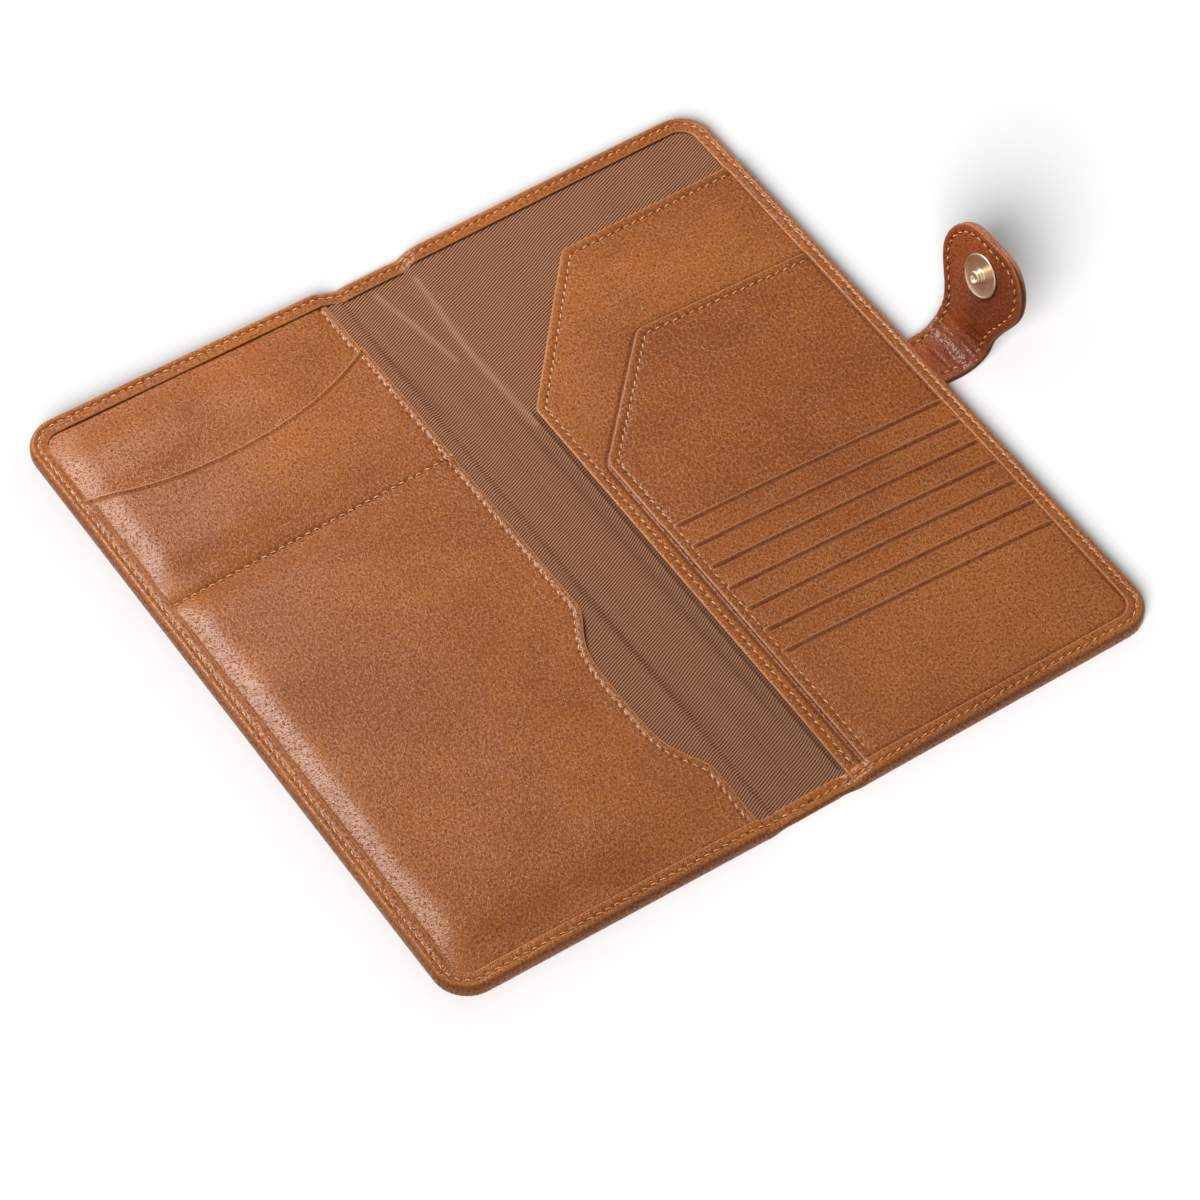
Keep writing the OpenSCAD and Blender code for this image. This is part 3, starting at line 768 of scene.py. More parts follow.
def make_twill():
    """Twill weave: slanting ribs, each of short floats, shaded along the wale."""
    material, tree, shader = new_material("brown_twill")
    place = piece_place(tree)
    axes = add(tree, "ShaderNodeSeparateXYZ", {0: turned_place(tree, place, -twill_angle)}).outputs
    across = calc(tree, "MULTIPLY_ADD", noise(tree, place, 0.05, 1.0), 1.5, axes[1])
    rib = calc(tree, "SINE", calc(tree, "MULTIPLY", across, 2 * math.pi / twill_pitch))
    floats = calc(tree, "SINE", calc(tree, "MULTIPLY_ADD", axes[0], 2 * math.pi / float_pitch,
                                     calc(tree, "MULTIPLY", across, 4.4)))
    grit = calc(tree, "MULTIPLY_ADD", noise(tree, place, 2.5), 0.5, -0.25)
    wale = calc(tree, "MULTIPLY_ADD", rib, 0.5, 0.5)
    yarn = calc(tree, "MULTIPLY_ADD", floats, 0.16, grit)
    level = calc(tree, "ADD", wale, calc(tree, "MULTIPLY", yarn, wale))
    ribs = mix_colour(tree, remap(tree, level, 0.05, 1.05, 0.0, 1.0),
                      (0.06, 0.018, 0.007), (0.39, 0.175, 0.088))
    faded = mix_colour(tree, calc(tree, "MULTIPLY", noise(tree, place, 0.03, 3.0), 0.2),
                       ribs, (0.16, 0.07, 0.035))
    # Ridges beside the folds are painted paler as painted highlight.
    ridge_highlit = mix_colour(tree, calc(tree, "MULTIPLY", piece_mask(tree, "gather"), 0.22),
                        faded, (0.6, 0.3, 0.19))
    # Creases are painted near black as painted shade.
    pressed = mix_colour(tree, piece_mask(tree, "press_shade"), ridge_highlit, (0.03, 0.01, 0.005))
    feed(tree, shader, {
        "Base Color": pressed, "Roughness": 0.62, "Specular IOR Level": 0.12,
        "Sheen Weight": 0.04, "Sheen Roughness": 0.4, "Normal": bumped(tree, level, 0.12)})
    return material


twill = make_twill()


def lining_top(side):
    """Upper surface of the lining: level on the board, dipping at the fold, with creases."""
    def top(points, distance):
        u, y = points.T
        step = fold_z + (lining_z - fold_z) * ease((u - 0.2) / 2.4)
        ridge = 0.45 * bell(u - 1.4, 1.2) if side == BACK else 0.2 * bell(u - 3.4, 1.6)
        bare = ease((y - 60) / 30) if side == BACK else np.zeros_like(u)
        swell = 0.22 * np.sin(u / 3.1 + 1.2 * np.sin(y / 31)) * ease(u / 6) * bare
        ripple = 0.12 * np.sin((u + 0.06 * y) * 0.8 + side) * (1 - ease((u + 3) / 4))
        folds = ridge * (0.6 + 0.4 * np.sin(y / 23 + side)) + swell + ripple
        folds = folds + 0.25 * ridge_share(side)(points)
        return step + folds * ease((half_len - turn_w - 1 - np.abs(y)) / 8)
    return top


def across_spine(side):
    """Place of a cover's points on the whole cloth, measured from the spine's middle."""
    def place(points):
        return np.stack([side * (fold_x + points[:, 0]), points[:, 1]], -1)
    return place


def ridge_share(side):
    """Where the lining stands up in ridges beside the folds at its far end, which are painted paler
    as painted highlight.
    """
    def share(points):
        across = across_spine(side)(points)
        ridges = [bell(to_path(across, np.array(path, float))[0], 0.9) for path in fold_ridges]
        return np.maximum(*ridges)
    return share


# Ridges as places on the whole cloth, and the soft creases of each cover beside its fold, painted
# dark as painted shade; the back cover's first one is the ticket pocket's painted shadow on the
# lining.
fold_ridges = [[(12.2, 108), (10.3, 75), (11.2, 40)], [(-0.9, 110), (2.6, 92), (5.4, 75)]]
fold_creases_shaded = {
    BACK: [([(ticket_set - 0.7, 46), (ticket_set - 0.7, -113)], 0.2, 0.6, 3, 0.7),
           ([(-1.2, 60), (-1.1, -36), (-0.6, -73), (0.2, -104)], 0.25, 1.5, 30, 0.3)],
    FRONT: [([(2, 98), (-0.1, 74), (-1.7, 50)], 0.22, 1.5, 14, 0.25),
            ([(1.9, 0), (1.9, -24), (0.3, -60), (-1.3, -96)], 0.25, 1.6, 25, 0.25)]}
fold_spots = [(u, y) for y in np.arange(3 - half_len, half_len - 2, 1.6)
              for u in np.arange(-9.4, 9, 0.55)]
lining_side = sewn_side(-fold_x, None, layer_inset)
for side, cover in COVERS:
    lining = cut_piece(f"twill_lining_{cover}", on_cover(side), [],
                       [lining_side + lining_side[:1]], lining_top(side), lining_t, twill,
                       grid=2.2, spots=fold_spots, under_spots=fold_spots[::3],
                       creases=fold_creases_shaded[side], gather=ridge_share(side),
                       uv_of=across_spine(side))
    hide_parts(f"{cover}_lining", "spine_lining")
    bend_at_fold(lining, side, cover)


# ---- Thread --------------------------------------------------------------------------
# Waxed polyester thread in a light gold, lock-stitched at three millimetres. Every stitch
# is a short twisted bead of thread that dives into its needle holes at both ends.
thread_r = 0.21
twist_pitch = 0.42


def make_thread():
    """Light gold thread with its twist, its tone painted darker along the twist as painted shade,
    and small changes of tone.
    """
    material, tree, shader = new_material("gold_thread")
    place = piece_place(tree)
    axes = add(tree, "ShaderNodeSeparateXYZ", {0: place}).outputs
    lean = calc(tree, "MULTIPLY_ADD", axes[1], 0.9, axes[0])
    twist = calc(tree, "SINE", calc(tree, "MULTIPLY", lean, 2 * math.pi / twist_pitch))
    # Part of the thread's tone follows its twist, as painted shade between the plies.
    share = calc(tree, "MULTIPLY_ADD", twist, 0.22, noise(tree, place, 0.4))
    colour = mix_colour(tree, remap(tree, share, 0.2, 0.8, 0.0, 1.0),
                        (0.56, 0.25, 0.08), (1.0, 0.62, 0.29))
    feed(tree, shader, {"Base Color": colour, "Roughness": 0.5, "Specular IOR Level": 0.15,
                        "Normal": bumped(tree, twist, 0.04)})
    return material


def tube_faces(rings, around):
    """Faces of a tube of rings of points, closed at both ends."""
    ring = np.arange(around)
    after = (ring + 1) % around
    last = (rings - 1) * around
    sides = [np.stack([ring + k, after + k, after + k + around, ring + k + around], -1)
             for k in range(0, last, around)]
    return [*np.vstack(sides).tolist(), ring[::-1].tolist(), (ring + last).tolist()]


thread = make_thread()
thread_draws = np.random.default_rng(41)
# One bead: share of its half length, rise over the leather and swell of its radius.
BEAD = np.array([(-1, -0.34, 0.5), (-0.72, 0.02, 0.9), (-0.3, 0.16, 1.05), (0.3, 0.16, 1.05),
                 (0.72, 0.02, 0.9), (1, -0.34, 0.5)])


def sew(name, place, rows, side=1, lean=0.2, gap=0.5):
    """Stitches along rows of (path with heights, pitch). Side -1 is the leather's underside,
    lean turns each stitch against its row and gap is half the space between two."""
    around = 6
    share, rise, swell = (np.repeat(values, around) for values in BEAD.T)
    angle = np.tile(2 * math.pi * np.arange(around) / around, len(BEAD))
    out, up = swell * thread_r * np.cos(angle), rise + swell * thread_r * np.sin(angle)
    bead_faces = tube_faces(len(BEAD), around)
    points, uv, beads = [], [], 0
    for path, pitch in rows:
        run = path_run(path[:, :2])
        count = int(run[-1] / pitch)
        at = (np.arange(count) + 0.5) * pitch

        def along_row(where):
            return np.stack([np.interp(where, run, path[:, k]) for k in range(3)], -1)

        half = 0.5 * pitch - gap + thread_draws.uniform(-0.08, 0.05, count)
        turn = lean + thread_draws.uniform(-0.07, 0.07, count)
        ahead = along_row(at + 0.4 * pitch)[:, :2] - along_row(at - 0.4 * pitch)[:, :2]
        ahead /= np.linalg.norm(ahead, axis=1)[:, None]
        c, s = np.cos(turn), np.sin(turn)
        a = np.stack([c * ahead[:, 0] - s * ahead[:, 1], s * ahead[:, 0] + c * ahead[:, 1]], -1)
        b = np.stack([-a[:, 1], a[:, 0]], -1)
        reach = half[:, None] * share
        foot = (at[:, None] + reach).ravel()
        flat = along_row(at)[:, None, :2] + a[:, None] * reach[..., None] + b[:, None] * out[:, None]
        flat = flat.reshape(-1, 2)
        level = along_row(foot)[:, 2] + side * np.tile(up, count)
        points.append(place(flat[:, 0], flat[:, 1], level))
        uv.append(np.stack([foot, np.tile(thread_r * angle, count)], -1))
        beads += count
    faces = [[first + k for k in face] for first in range(0, beads * len(angle), len(angle))
             for face in bead_faces]
    return build(name, np.vstack(points), faces, np.vstack(uv), thread)


# The turned edge is sewn down through all layers; its stitches show on both faces.
underside_dip = dict(RIM_SIDE)[seam_in]
for side, cover in COVERS:
    spots, normals, run, from_corner = rim_stations()
    crest, lip = rim_heights(side, spots, normals)
    seam_path = spots + normals * seam_in
    for face, levels, way in (
            ("inside", crest_height(seam_in, crest, lip, from_corner, run), 1),
            ("outside", underside_dip * crest, -1)):
        edge_seam = sew(f"edge_stitches_{face}_{cover}", on_cover(side),
                        [(np.column_stack([seam_path, levels]), stitch_pitch)], side=way)
        bend_at_fold(edge_seam, side, cover)


# ---- Front cover pockets ---------------------------------------------------------------
# Pared calf leather with folded and sewn hems. A backing panel closes the boarding-pass
# pocket; over it lies one panel with a scooped mouth, a sewn divider and, below that, a
# passport pocket whose hem has a thumb notch.
pocket_light = (0.32, 0.092, 0.013)
pocket_deep = (0.215, 0.053, 0.006)
pocket_leather = leather("cognac_pocket_leather", pocket_light, pocket_deep, hide_edge_and_sheen,
                         cells=0.75, wrinkle=0.8)
under_edge = 2.4
hem_seam = 2.4
pocket_z = lining_z + 0.1 + pocket_t
near_seam = seam_in - half_len
thumb_at, thumb_half, thumb_depth = near_seam + 58, 35, 8


def rim_shade_crease(start, outer_y):
    """Crease where a pocket dips under the turned edge, painted dark as the turned edge's painted
    shade.
    """
    return (resample(sewn_side(start, outer_y, turn_w + 0.25), 1.5), 0.22, 0.45, 0, 0.55)


def pocket_piece(name, body, node, skin, place, free, sewn, top, seams, **finish):
    """A pocket panel with the threads of its own seams, riding on its cover."""
    piece = cut_piece(name, place, free, sewn, top, pocket_t, skin, seams=seams, **finish)
    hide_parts(node)
    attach(piece, body)
    edges = [resample(edge, 1) for edge in free]
    rows = [(np.column_stack([path, top(path, edge_distance(path, edges)) - depth]), pitch)
            for path, pitch, depth in seams]
    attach(sew(f"{name}_stitches", place, rows), body)


def scoop(u):
    """Height in y of the scooped mouth."""
    return scoop_y + scoop_rise * (np.abs(u - scoop_from_fold) / scoop_reach) ** scoop_power


def notch(y):
    """How far the passport hem is set in at y, with its thumb notch."""
    t = np.clip(np.abs(y - thumb_at) / thumb_half, 0, 1)
    return passport_set + thumb_depth * (1 + np.cos(math.pi * t ** scoop_power)) / 2


front_place = on_cover(FRONT)
outer_u = cover_w - under_edge
scoop_u = np.linspace(outer_u, passport_set, 60)
mouth_path = np.stack([scoop_u, scoop(scoop_u)], -1)
hem_y = np.linspace(scoop(passport_set), under_edge - half_len, 160)
hem_path = np.stack([notch(hem_y), hem_y], -1)
passport_free = [np.vstack([mouth_path[:-1], hem_path])]
passport_sewn = [sewn_side(hem_path[-1][0], mouth_path[0][1], under_edge)]
hem_row = offset(resample(hem_path, 1), hem_seam)
hem_row = hem_row[hem_row[:, 1] > turn_w - half_len + 0.5]
divider_slant = math.tan(math.radians(2))
divider_u = np.array([cover_w - turn_w - 0.5, passport_set + hem_seam])
divider_row = resample(np.stack([divider_u, divider_y - divider_slant * (divider_u - 10)], -1), 1)


def passport_top(points, distance):
    """The panel lies on the boarding pocket's backing beyond its divider, on the lining
    below it, swells a little between its seams and lifts at its free edges."""
    u, y = points.T
    beyond = ease((y - divider_y + 4) / 4)
    level = lining_z + 0.15 + pocket_t * (1 + beyond)
    to_divider = np.abs(y - divider_y)
    swell = (0.45 + 1.1 * ease((u - 8) / 40)) * ease((cover_w - 4 - u) / 9)
    swell = swell * ease(to_divider / 14) * ease((y + half_len - 6) / 16)
    lift = 0.35 * (1 - ease(distance / 9)) * ease((y + half_len - 8) / 20)
    rib = 0.12 * bell(distance - 1.2, 0.9)
    wave = 0.12 * np.sin(u / 9 + y / 17) * np.sin(y / 13) * ease(distance / 8)
    return level + swell + lift + rib + wave


def boarding_top(points, distance):
    """The backing lies on the lining and swells a little beyond the scooped mouth."""
    u, y = points.T
    swell = 1.1 * ease((u - 8) / 35) * ease((cover_w - 4 - u) / 9)
    swell = swell * ease((half_len - 6 - y) / 14) * ease((y - scoop_y - 2) / 12)
    wave = 0.1 * np.sin(u / 8 + y / 9)
    return pocket_z + swell + wave * ease((y - scoop_y - 2) / 10)


def drawn_in(points):
    """Where the front panels are gathered and stretched along the outer turned edge, and painted
    paler there as painted sheen.
    """
    u, y = points.T
    ragged = 1.6 * np.sin(y / 5.3) + 1.1 * np.sin(y / 2.1)
    return ease((u + ragged - (cover_w - 17)) / 9) * ease((half_len - 3 - y) / 6)


def mirrored(points):
    """Grain place on the front cover, so that both covers' hides stretch the same way."""
    return points * (-1, 1)


pocket_piece("passport_pocket_leather", "front_cover", "passport_pocket", pocket_leather,
             front_place, passport_free, passport_sewn, passport_top,
             [(hem_row, stitch_pitch, 0.14), (divider_row, stitch_pitch, 0.3)], uv_of=mirrored,
             # The crease under the scoop's lip is painted dark as painted shade.
             creases=[(offset(resample(mouth_path, 1), 1.3)[2:-2], 0.5, 0.5, 0, 0.7),
                      rim_shade_crease(passport_set + 2, scoop(cover_w - turn_w))], gather=drawn_in)

tack_y = divider_row[-1][1]
tack = np.array([(passport_set + 4.4, tack_y + 0.1), (passport_set - 0.1, tack_y)])
tack_level = passport_top(tack, tack[:, 0] - passport_set) + 0.05
tack_pitch, tack_lean, tack_overlap = 1.1, 1.2, 0.15
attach(sew("divider_bar_tack", front_place, [(np.column_stack([tack, tack_level]), tack_pitch)],
            lean=tack_lean, gap=-tack_overlap), "front_cover")

backing_low = divider_y - 3
backing_hem = np.array([(passport_set, half_len - under_edge), (passport_set, backing_low)])
backing_sewn = [[(passport_set, backing_low), (outer_u, backing_low), *far_corner(under_edge),
                 (passport_set, half_len - under_edge)]]
backing_row = resample([(passport_set + hem_seam, half_len - turn_w - 0.5),
                        (passport_set + hem_seam, scoop(passport_set) + 1)], 1)
pocket_piece("boarding_pocket_leather", "front_cover", "boarding_pocket_back", pocket_leather,
             front_place, [backing_hem], backing_sewn, boarding_top,
             [(backing_row, stitch_pitch, 0.25)], uv_of=mirrored, gather=drawn_in)


# ---- Back cover pockets ------------------------------------------------------------------
# A ticket pocket and, over it, a card panel, each with a chamfered inner corner. Seven
# leather bands make the card slots; the panel's hem binds their inner ends.
back_place = on_cover(BACK)
panel_z = lining_z + 0.2 + 2 * pocket_t
ticket_cut, card_cut, cut_r = (41, 48), (card_shoulder - card_set, 38), 5
slot_count = sum(name.startswith("card_slot_") for name in frame["nodes"])
slot_pitch = (high["card_slot_1"][1] - high[f"card_slot_{slot_count}"][1]) / (slot_count - 1)


def chamfered_edge(inset, mouth, cut, fall):
    """Free edge of a pocket from its outer end along the mouth, the chamfer and the hem."""
    outer = (outer_u, mouth - (outer_u - inset - cut[0]) * fall)
    shoulder, hip = (inset + cut[0], mouth), (inset, mouth - cut[1])
    end = (inset, under_edge - half_len)
    points = [np.array(p, float) for p in (outer, shoulder, hip, end)]
    path = [points[0]]
    for before, corner, after in zip(points, points[1:], points[2:]):
        a, b = before - corner, after - corner
        a, b = a / np.linalg.norm(a), b / np.linalg.norm(b)
        reach = cut_r / math.tan(math.acos(a @ b) / 2)
        for t in np.linspace(0, 1, 9):
            path.append(corner + reach * ((1 - t) ** 2 * a + t ** 2 * b))
    path.append(points[-1])
    return np.array(path)


def hem_of(path, inset):
    """Seam row inside a free edge, kept clear of the turned edge."""
    row = offset(resample(path, 0.8), inset)
    keep = (row[:, 0] < cover_w - turn_w - 0.5) & (row[:, 1] > turn_w - half_len + 0.5)
    return row[keep]


def band_mouth(k):
    """Height in y of a band's mouth at the card panel's hem."""
    return high[f"card_slot_{k}"][1]


def ticket_top(points, distance):
    """The ticket pocket lifts at its free edge and swells above the card panel."""
    u, y = points.T
    swell = 0.35 * ease((ticket_mouth - y) / 30) * ease((y - card_mouth - 3) / 12)
    lift = 0.45 * (1 - ease(distance / 6)) * ease((y + half_len - 8) / 20)
    lift = lift + 0.14 * bell(distance - 1.3, 1.0)
    return pocket_z + lift + swell * ease(u / 20) * ease((cover_w - 6 - u) / 20)


def card_top(points, distance):
    """The card panel swells above the bands, and its hem stands up where it binds them."""
    u, y = points.T
    swell = 0.35 * ease((card_mouth - y) / 25) * ease((y - band_mouth(1)) / 20)
    swell = swell * ease((u - 12) / 20) * ease((cover_w - 6 - u) / 20)
    lift = 0.15 * (1 - ease(distance / 6)) * ease((y + half_len - 8) / 20)
    lift = lift + 0.1 * bell(distance - 1.3, 1.0)
    bound = (distance < 12) * (1 - ease((distance - 2.3) / 0.9)) * ease((band_mouth(1) + 3 - y) / 3)
    ticks = 0.12 * sum(bell(y - band_mouth(k), 0.6) for k in range(1, slot_count + 1))
    return panel_z + lift + swell + bound * (0.5 + ticks)


ticket_edge = chamfered_edge(ticket_set, ticket_mouth, ticket_cut, 0)
card_edge = chamfered_edge(card_set, card_mouth, card_cut, slant)
# A line on the ticket pocket beside the card panel's edge is painted dark as the panel's painted
# shadow.
card_edge_shadow = offset(resample(card_edge, 0.8), -0.55)
card_edge_shadow = card_edge_shadow[card_edge_shadow[:, 1] > turn_w - half_len]
card_light = (0.275, 0.073, 0.009)
card_deep = (0.18, 0.042, 0.004)
card_leather = leather("cognac_card_leather", card_light, card_deep, hide_edge_and_sheen, cells=0.55,
                       wrinkle=0.6)
for name, node, skin, inset, edge, top, pressed in (
        ("ticket_pocket_leather", "ticket_pocket", pocket_leather, ticket_set, ticket_edge,
         ticket_top, [(card_edge_shadow, 0.3, 0.55, 0, 0.65)]),
        ("card_panel_leather", "card_panel", card_leather, card_set, card_edge,
         card_top, [rim_shade_crease(card_set + 2, card_mouth - 1)])):
    pocket_piece(name, "back_cover", node, skin, back_place, [edge],
                 [sewn_side(inset, edge[0][1], under_edge)], top,
                 [(hem_of(edge, 2.9), stitch_pitch, 0.16)], creases=pressed)

band_from = card_set + 2.5
band_to = cover_w - turn_w + 0.3
band_t = 0.45


def make_band(k):
    """Band k: its folded mouth stands up over the band behind it, then it slopes down and
    slips behind the next one."""
    mouth = band_mouth(k)
    depth = slot_pitch + 1.5 if k < slot_count else mouth + half_len - turn_w + 0.3

    def at(u, back):
        return (u, mouth - (u - card_set) * slant - back)

    def top(points, distance):
        u, y = points.T
        back = np.maximum(mouth - (u - card_set) * slant - y, 0)
        fall = 0.65 * ease(back / 8.5) if k < slot_count else 0.35 * ease(back / 14)
        ends = 0.32 * (1 - ease((band_to - u) / 3.5)) + 0.3 * (1 - ease((u - band_from) / 2))
        swell = 0.12 * np.sin((u - band_from) / (band_to - band_from) * math.pi)
        lip = 0.14 * bell(back - 0.4, 0.5)
        return panel_z + 0.72 + lip - fall - ends + swell

    free = [np.array([at(band_to, 0), at(band_from, 0)])]
    if k < slot_count:
        sewn = [at(band_from, 0), at(band_from, depth), at(band_to, depth), at(band_to, 0)]
    else:
        sewn = [at(band_from, 0), (band_from, turn_w - half_len), *near_corner(turn_w),
                at(band_to, 0)]
    # The fold's edge is pressed to a sharp line painted dark as painted shade, with a shallow roll
    # in front of it painted darker as its painted shade.
    creases = [(resample([at(band_to - 0.2, back), at(band_from + 0.5, back)], 1), *press_and_shade)
               for back, *press_and_shade in ((1.45, 0.34, 0.4, 1.5, 0.95), (0.8, 0.12, 0.75, 1.5, 0.5))]
    if k == slot_count:
        creases.append(rim_shade_crease(band_from, at(band_to, 0)[1]))
    band = cut_piece(f"card_band_{k}", back_place, free, [sewn], top, band_t, pocket_leather,
                     creases=creases, wear_and_sheen=0.8)
    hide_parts(f"card_slot_{k}")
    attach(band, "back_cover")


for k in range(1, slot_count + 1):
    make_band(k)


# ---- Strap ---------------------------------------------------------------------------
# Two layers of darker, waxed leather sewn back to back. The strap is caught under the back
# cover's turned edge and curls up to a tab with round corners, finely creased in the curl.
pivots = {joint["name"]: np.array(joint["pos_m"]) / MM
          for joint in frame["record"]["behaviour"]["joints"]}
root_pivot, bend_pivot = pivots["strap_root"], pivots["strap_bend"]
strap_y = root_pivot[1]
layer_t = 1.2
strap_w, neck_w, tab_w = 19.5, 22.5, 36.5
root_run = 3.5
tab_angle = math.radians(75)
curl_r = (bend_pivot[2] - root_pivot[2]) / (1 - math.cos(tab_angle))
bend_at = root_run + curl_r * tab_angle
snap_reach, tip_reach, tab_corner = 19.4, 12.4, 13
snap_at = bend_at + snap_reach
tip_at = snap_at + tip_reach
tongue_len = 5
strap_split = root_run + 0.5 * curl_r * tab_angle
strap_seam = 2.6

strap_light = (0.4, 0.083, 0.011)
strap_deep = (0.16, 0.025, 0.003)
# The strap's edge colour is that of its cut edges and pale wear, and also of its painted highlights.
strap_edge_and_sheen = (0.42, 0.17, 0.07)
strap_leather = leather("waxed_strap_leather", strap_light, strap_deep, strap_edge_and_sheen, cells=1.0,
                        wrinkle=1.5, roughness=0.26, relief=0.1, gloss=0.3, crest_highlight=0.3)


def place_strap(s, t, h):
    """Row frame point of the strap: s across it, t along its middle line from the root's
    fold and h from that line towards the snap side."""
    bent = np.clip(t - root_run, 0, curl_r * tab_angle) / curl_r
    before, after = np.minimum(t, root_run), np.maximum(t - bend_at, 0)
    x = root_pivot[0] + before + (curl_r - h) * np.sin(bent) + after * np.cos(bent)
    z = root_pivot[2] + curl_r - (curl_r - h) * np.cos(bent) + after * np.sin(bent)
    return np.stack([x, strap_y + s, z], -1)


def strap_half_width(t):
    """Half the strap's width: it widens up the curl and flares into the tab."""
    base = strap_w + (neck_w - strap_w) * ease(t / bend_at)
    flare = (tab_w - neck_w) * ease((t - bend_at) / (tip_at - tab_corner - bend_at))
    return (base + flare) / 2


def strap_side(start, end, side, inset=0.0):
    """The strap's edge from start to end along it, on side 1 or -1."""
    t = np.linspace(start, end, max(2, int(abs(end - start) / 0.8)))
    return np.stack([side * (strap_half_width(t) - inset), t], -1)


def strap_tip(inset=0.0):
    """The round end of the tab, from its right side to its left."""
    a = np.linspace(0, math.pi / 2, 16)
    r = tab_corner - inset
    right = np.stack([tab_w / 2 - tab_corner + r * np.cos(a),
                      tip_at - tab_corner + r * np.sin(a)], -1)
    return np.vstack([right, right[::-1] * (-1, 1)])


def tab_edge(inset=0.0):
    """The tab's edge from the middle of the curl round its tip and back."""
    up = strap_side(strap_split, tip_at - tab_corner, 1, inset)
    down = strap_side(tip_at - tab_corner, strap_split, -1, inset)
    return np.vstack([up[:-1], strap_tip(inset), down[1:]])


def strap_surface(layer):
    """Height of a strap layer's outer face. The inner one is creased across the curl."""
    def top(points, distance):
        s, t = points.T
        curled = ease((t + 2) / 5) * (1 - ease((t - bend_at + 3) / 14))
        fold = 2.1 * t + 0.5 * np.sin(s / 3.1 + t / 2.3) + 0.9 * np.sin(s / 7.7 + 0.6 * t)
        uneven = 0.55 + 0.45 * np.sin(s / 2.7 + 3 * np.sin(t / 3.3))
        crease = (0.5 + 0.5 * np.sin(fold)) ** 2 * uneven
        hem = 0.16 * (1 - ease((distance - strap_seam + 0.5) / 0.6))
        pad = 0.12 * ease((distance - strap_seam - 0.4) / 4)
        if layer > 0:
            return layer_t + hem + pad - 0.34 * curled * crease
        return layer_t + hem + 0.4 * pad
    return top


def strap_row(end):
    """Middle lines of the strap's stitches over one of its two pieces."""
    if end == "root":
        paths = [strap_side(0.5, strap_split, side, strap_seam) for side in (1, -1)]
    else:
        paths = [tab_edge(strap_seam)]
    return [resample(path, edge_step) for path in paths]


seam_sink = 0.16
strap_places = {1: place_strap, -1: lambda s, t, h: place_strap(-s, t, -h)}
curl_spots = [(s, t) for t in np.arange(-0.6, bend_at + 12, 0.42)
              for s in np.arange(-15, 15.1, 0.9)]


def bend_strap(piece, end):
    """Bakes a piece of the strap into place, at its root and at its tab alike; it is not bent."""
    if end == "root":
        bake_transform(piece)
    else:
        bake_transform(piece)


def make_strap_piece(layer, face, end):
    """One of the strap's four pieces with its threads. Layer 1 is the inner face's and -1
    the outer face's; the end is its root or its tab."""
    if end == "root":
        free = [strap_side(-tongue_len, strap_split, 1), strap_side(strap_split, -tongue_len, -1)]
        sewn = [[free[0][-1], free[1][0]], [free[1][-1], free[0][0]]]
        nodes = ("strap_tongue", f"strap_base_{face}")
    else:
        free = [tab_edge()]
        sewn = [[free[0][-1], free[0][0]]]
        nodes = (f"strap_base_{face}", f"strap_tab_{face}")
    top, place = strap_surface(layer), strap_places[layer]
    rows = strap_row(end)
    skin = cut_piece(f"strap_{end}_{face}_leather", place, free, sewn, top, layer_t - 0.04,
                     strap_leather, seams=[(row, stitch_pitch, seam_sink) for row in rows],
                     grid=1.6, held_step=0.9, spots=curl_spots if layer > 0 else ())
    levels = [top(row, np.full(len(row), strap_seam)) - seam_sink for row in rows]
    threads = sew(f"strap_{end}_{face}_stitches", place,
                  [(np.column_stack(pair), stitch_pitch) for pair in zip(rows, levels)])
    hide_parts(*nodes)
    for piece in (skin, threads):
        bend_strap(piece, end)


for layer, face in ((1, "inner"), (-1, "outer")):
    for end in ("root", "tab"):
        make_strap_piece(layer, face, end)


# ---- Snap ----------------------------------------------------------------------------
# A magnetic snap in pale brass. Its stud has a dished plate and a hollow post; the socket
# under the front cover is a spun cap over a ring magnet. Split legs hold both halves.
def turned_metal(name, colour, roughness):
    """Metal with fine turning marks and a faint haze of handling."""
    material, tree, shader = new_material(name)
    place = add(tree, "ShaderNodeTexCoord").outputs["Object"]
    haze, marks = (add(tree, "ShaderNodeTexNoise",
                       {"Vector": place, "Scale": scale, "Detail": detail}).outputs["Fac"]
                   for scale, detail in ((420.0, 4.0), (2600.0, 2.0)))
    feed(tree, shader, {
        "Base Color": mix_colour(tree, haze, colour, tuple(0.82 * c for c in colour)),
        "Roughness": calc(tree, "MULTIPLY_ADD", haze, 0.2, roughness - 0.1), "Metallic": 1,
        "Normal": bumped(tree, marks, 0.01, 0.5)})
    return material


brass = turned_metal("pale_brass", (0.74, 0.6, 0.44), 0.34)
magnet_metal = turned_metal("dark_magnet", (0.14, 0.14, 0.15), 0.4)


def spin(name, profile, place):
    """A turned piece from (radius, height) points, closed on its axis."""
    around = 64
    angle = 2 * math.pi * np.arange(around) / around
    radius, level = np.array(profile, float).T
    s = (radius[:, None] * np.cos(angle)).ravel()
    t = (radius[:, None] * np.sin(angle)).ravel()
    return build(name, place(s, t, np.repeat(level, around)), tube_faces(len(profile), around),
                 np.stack([s, t], -1), brass)


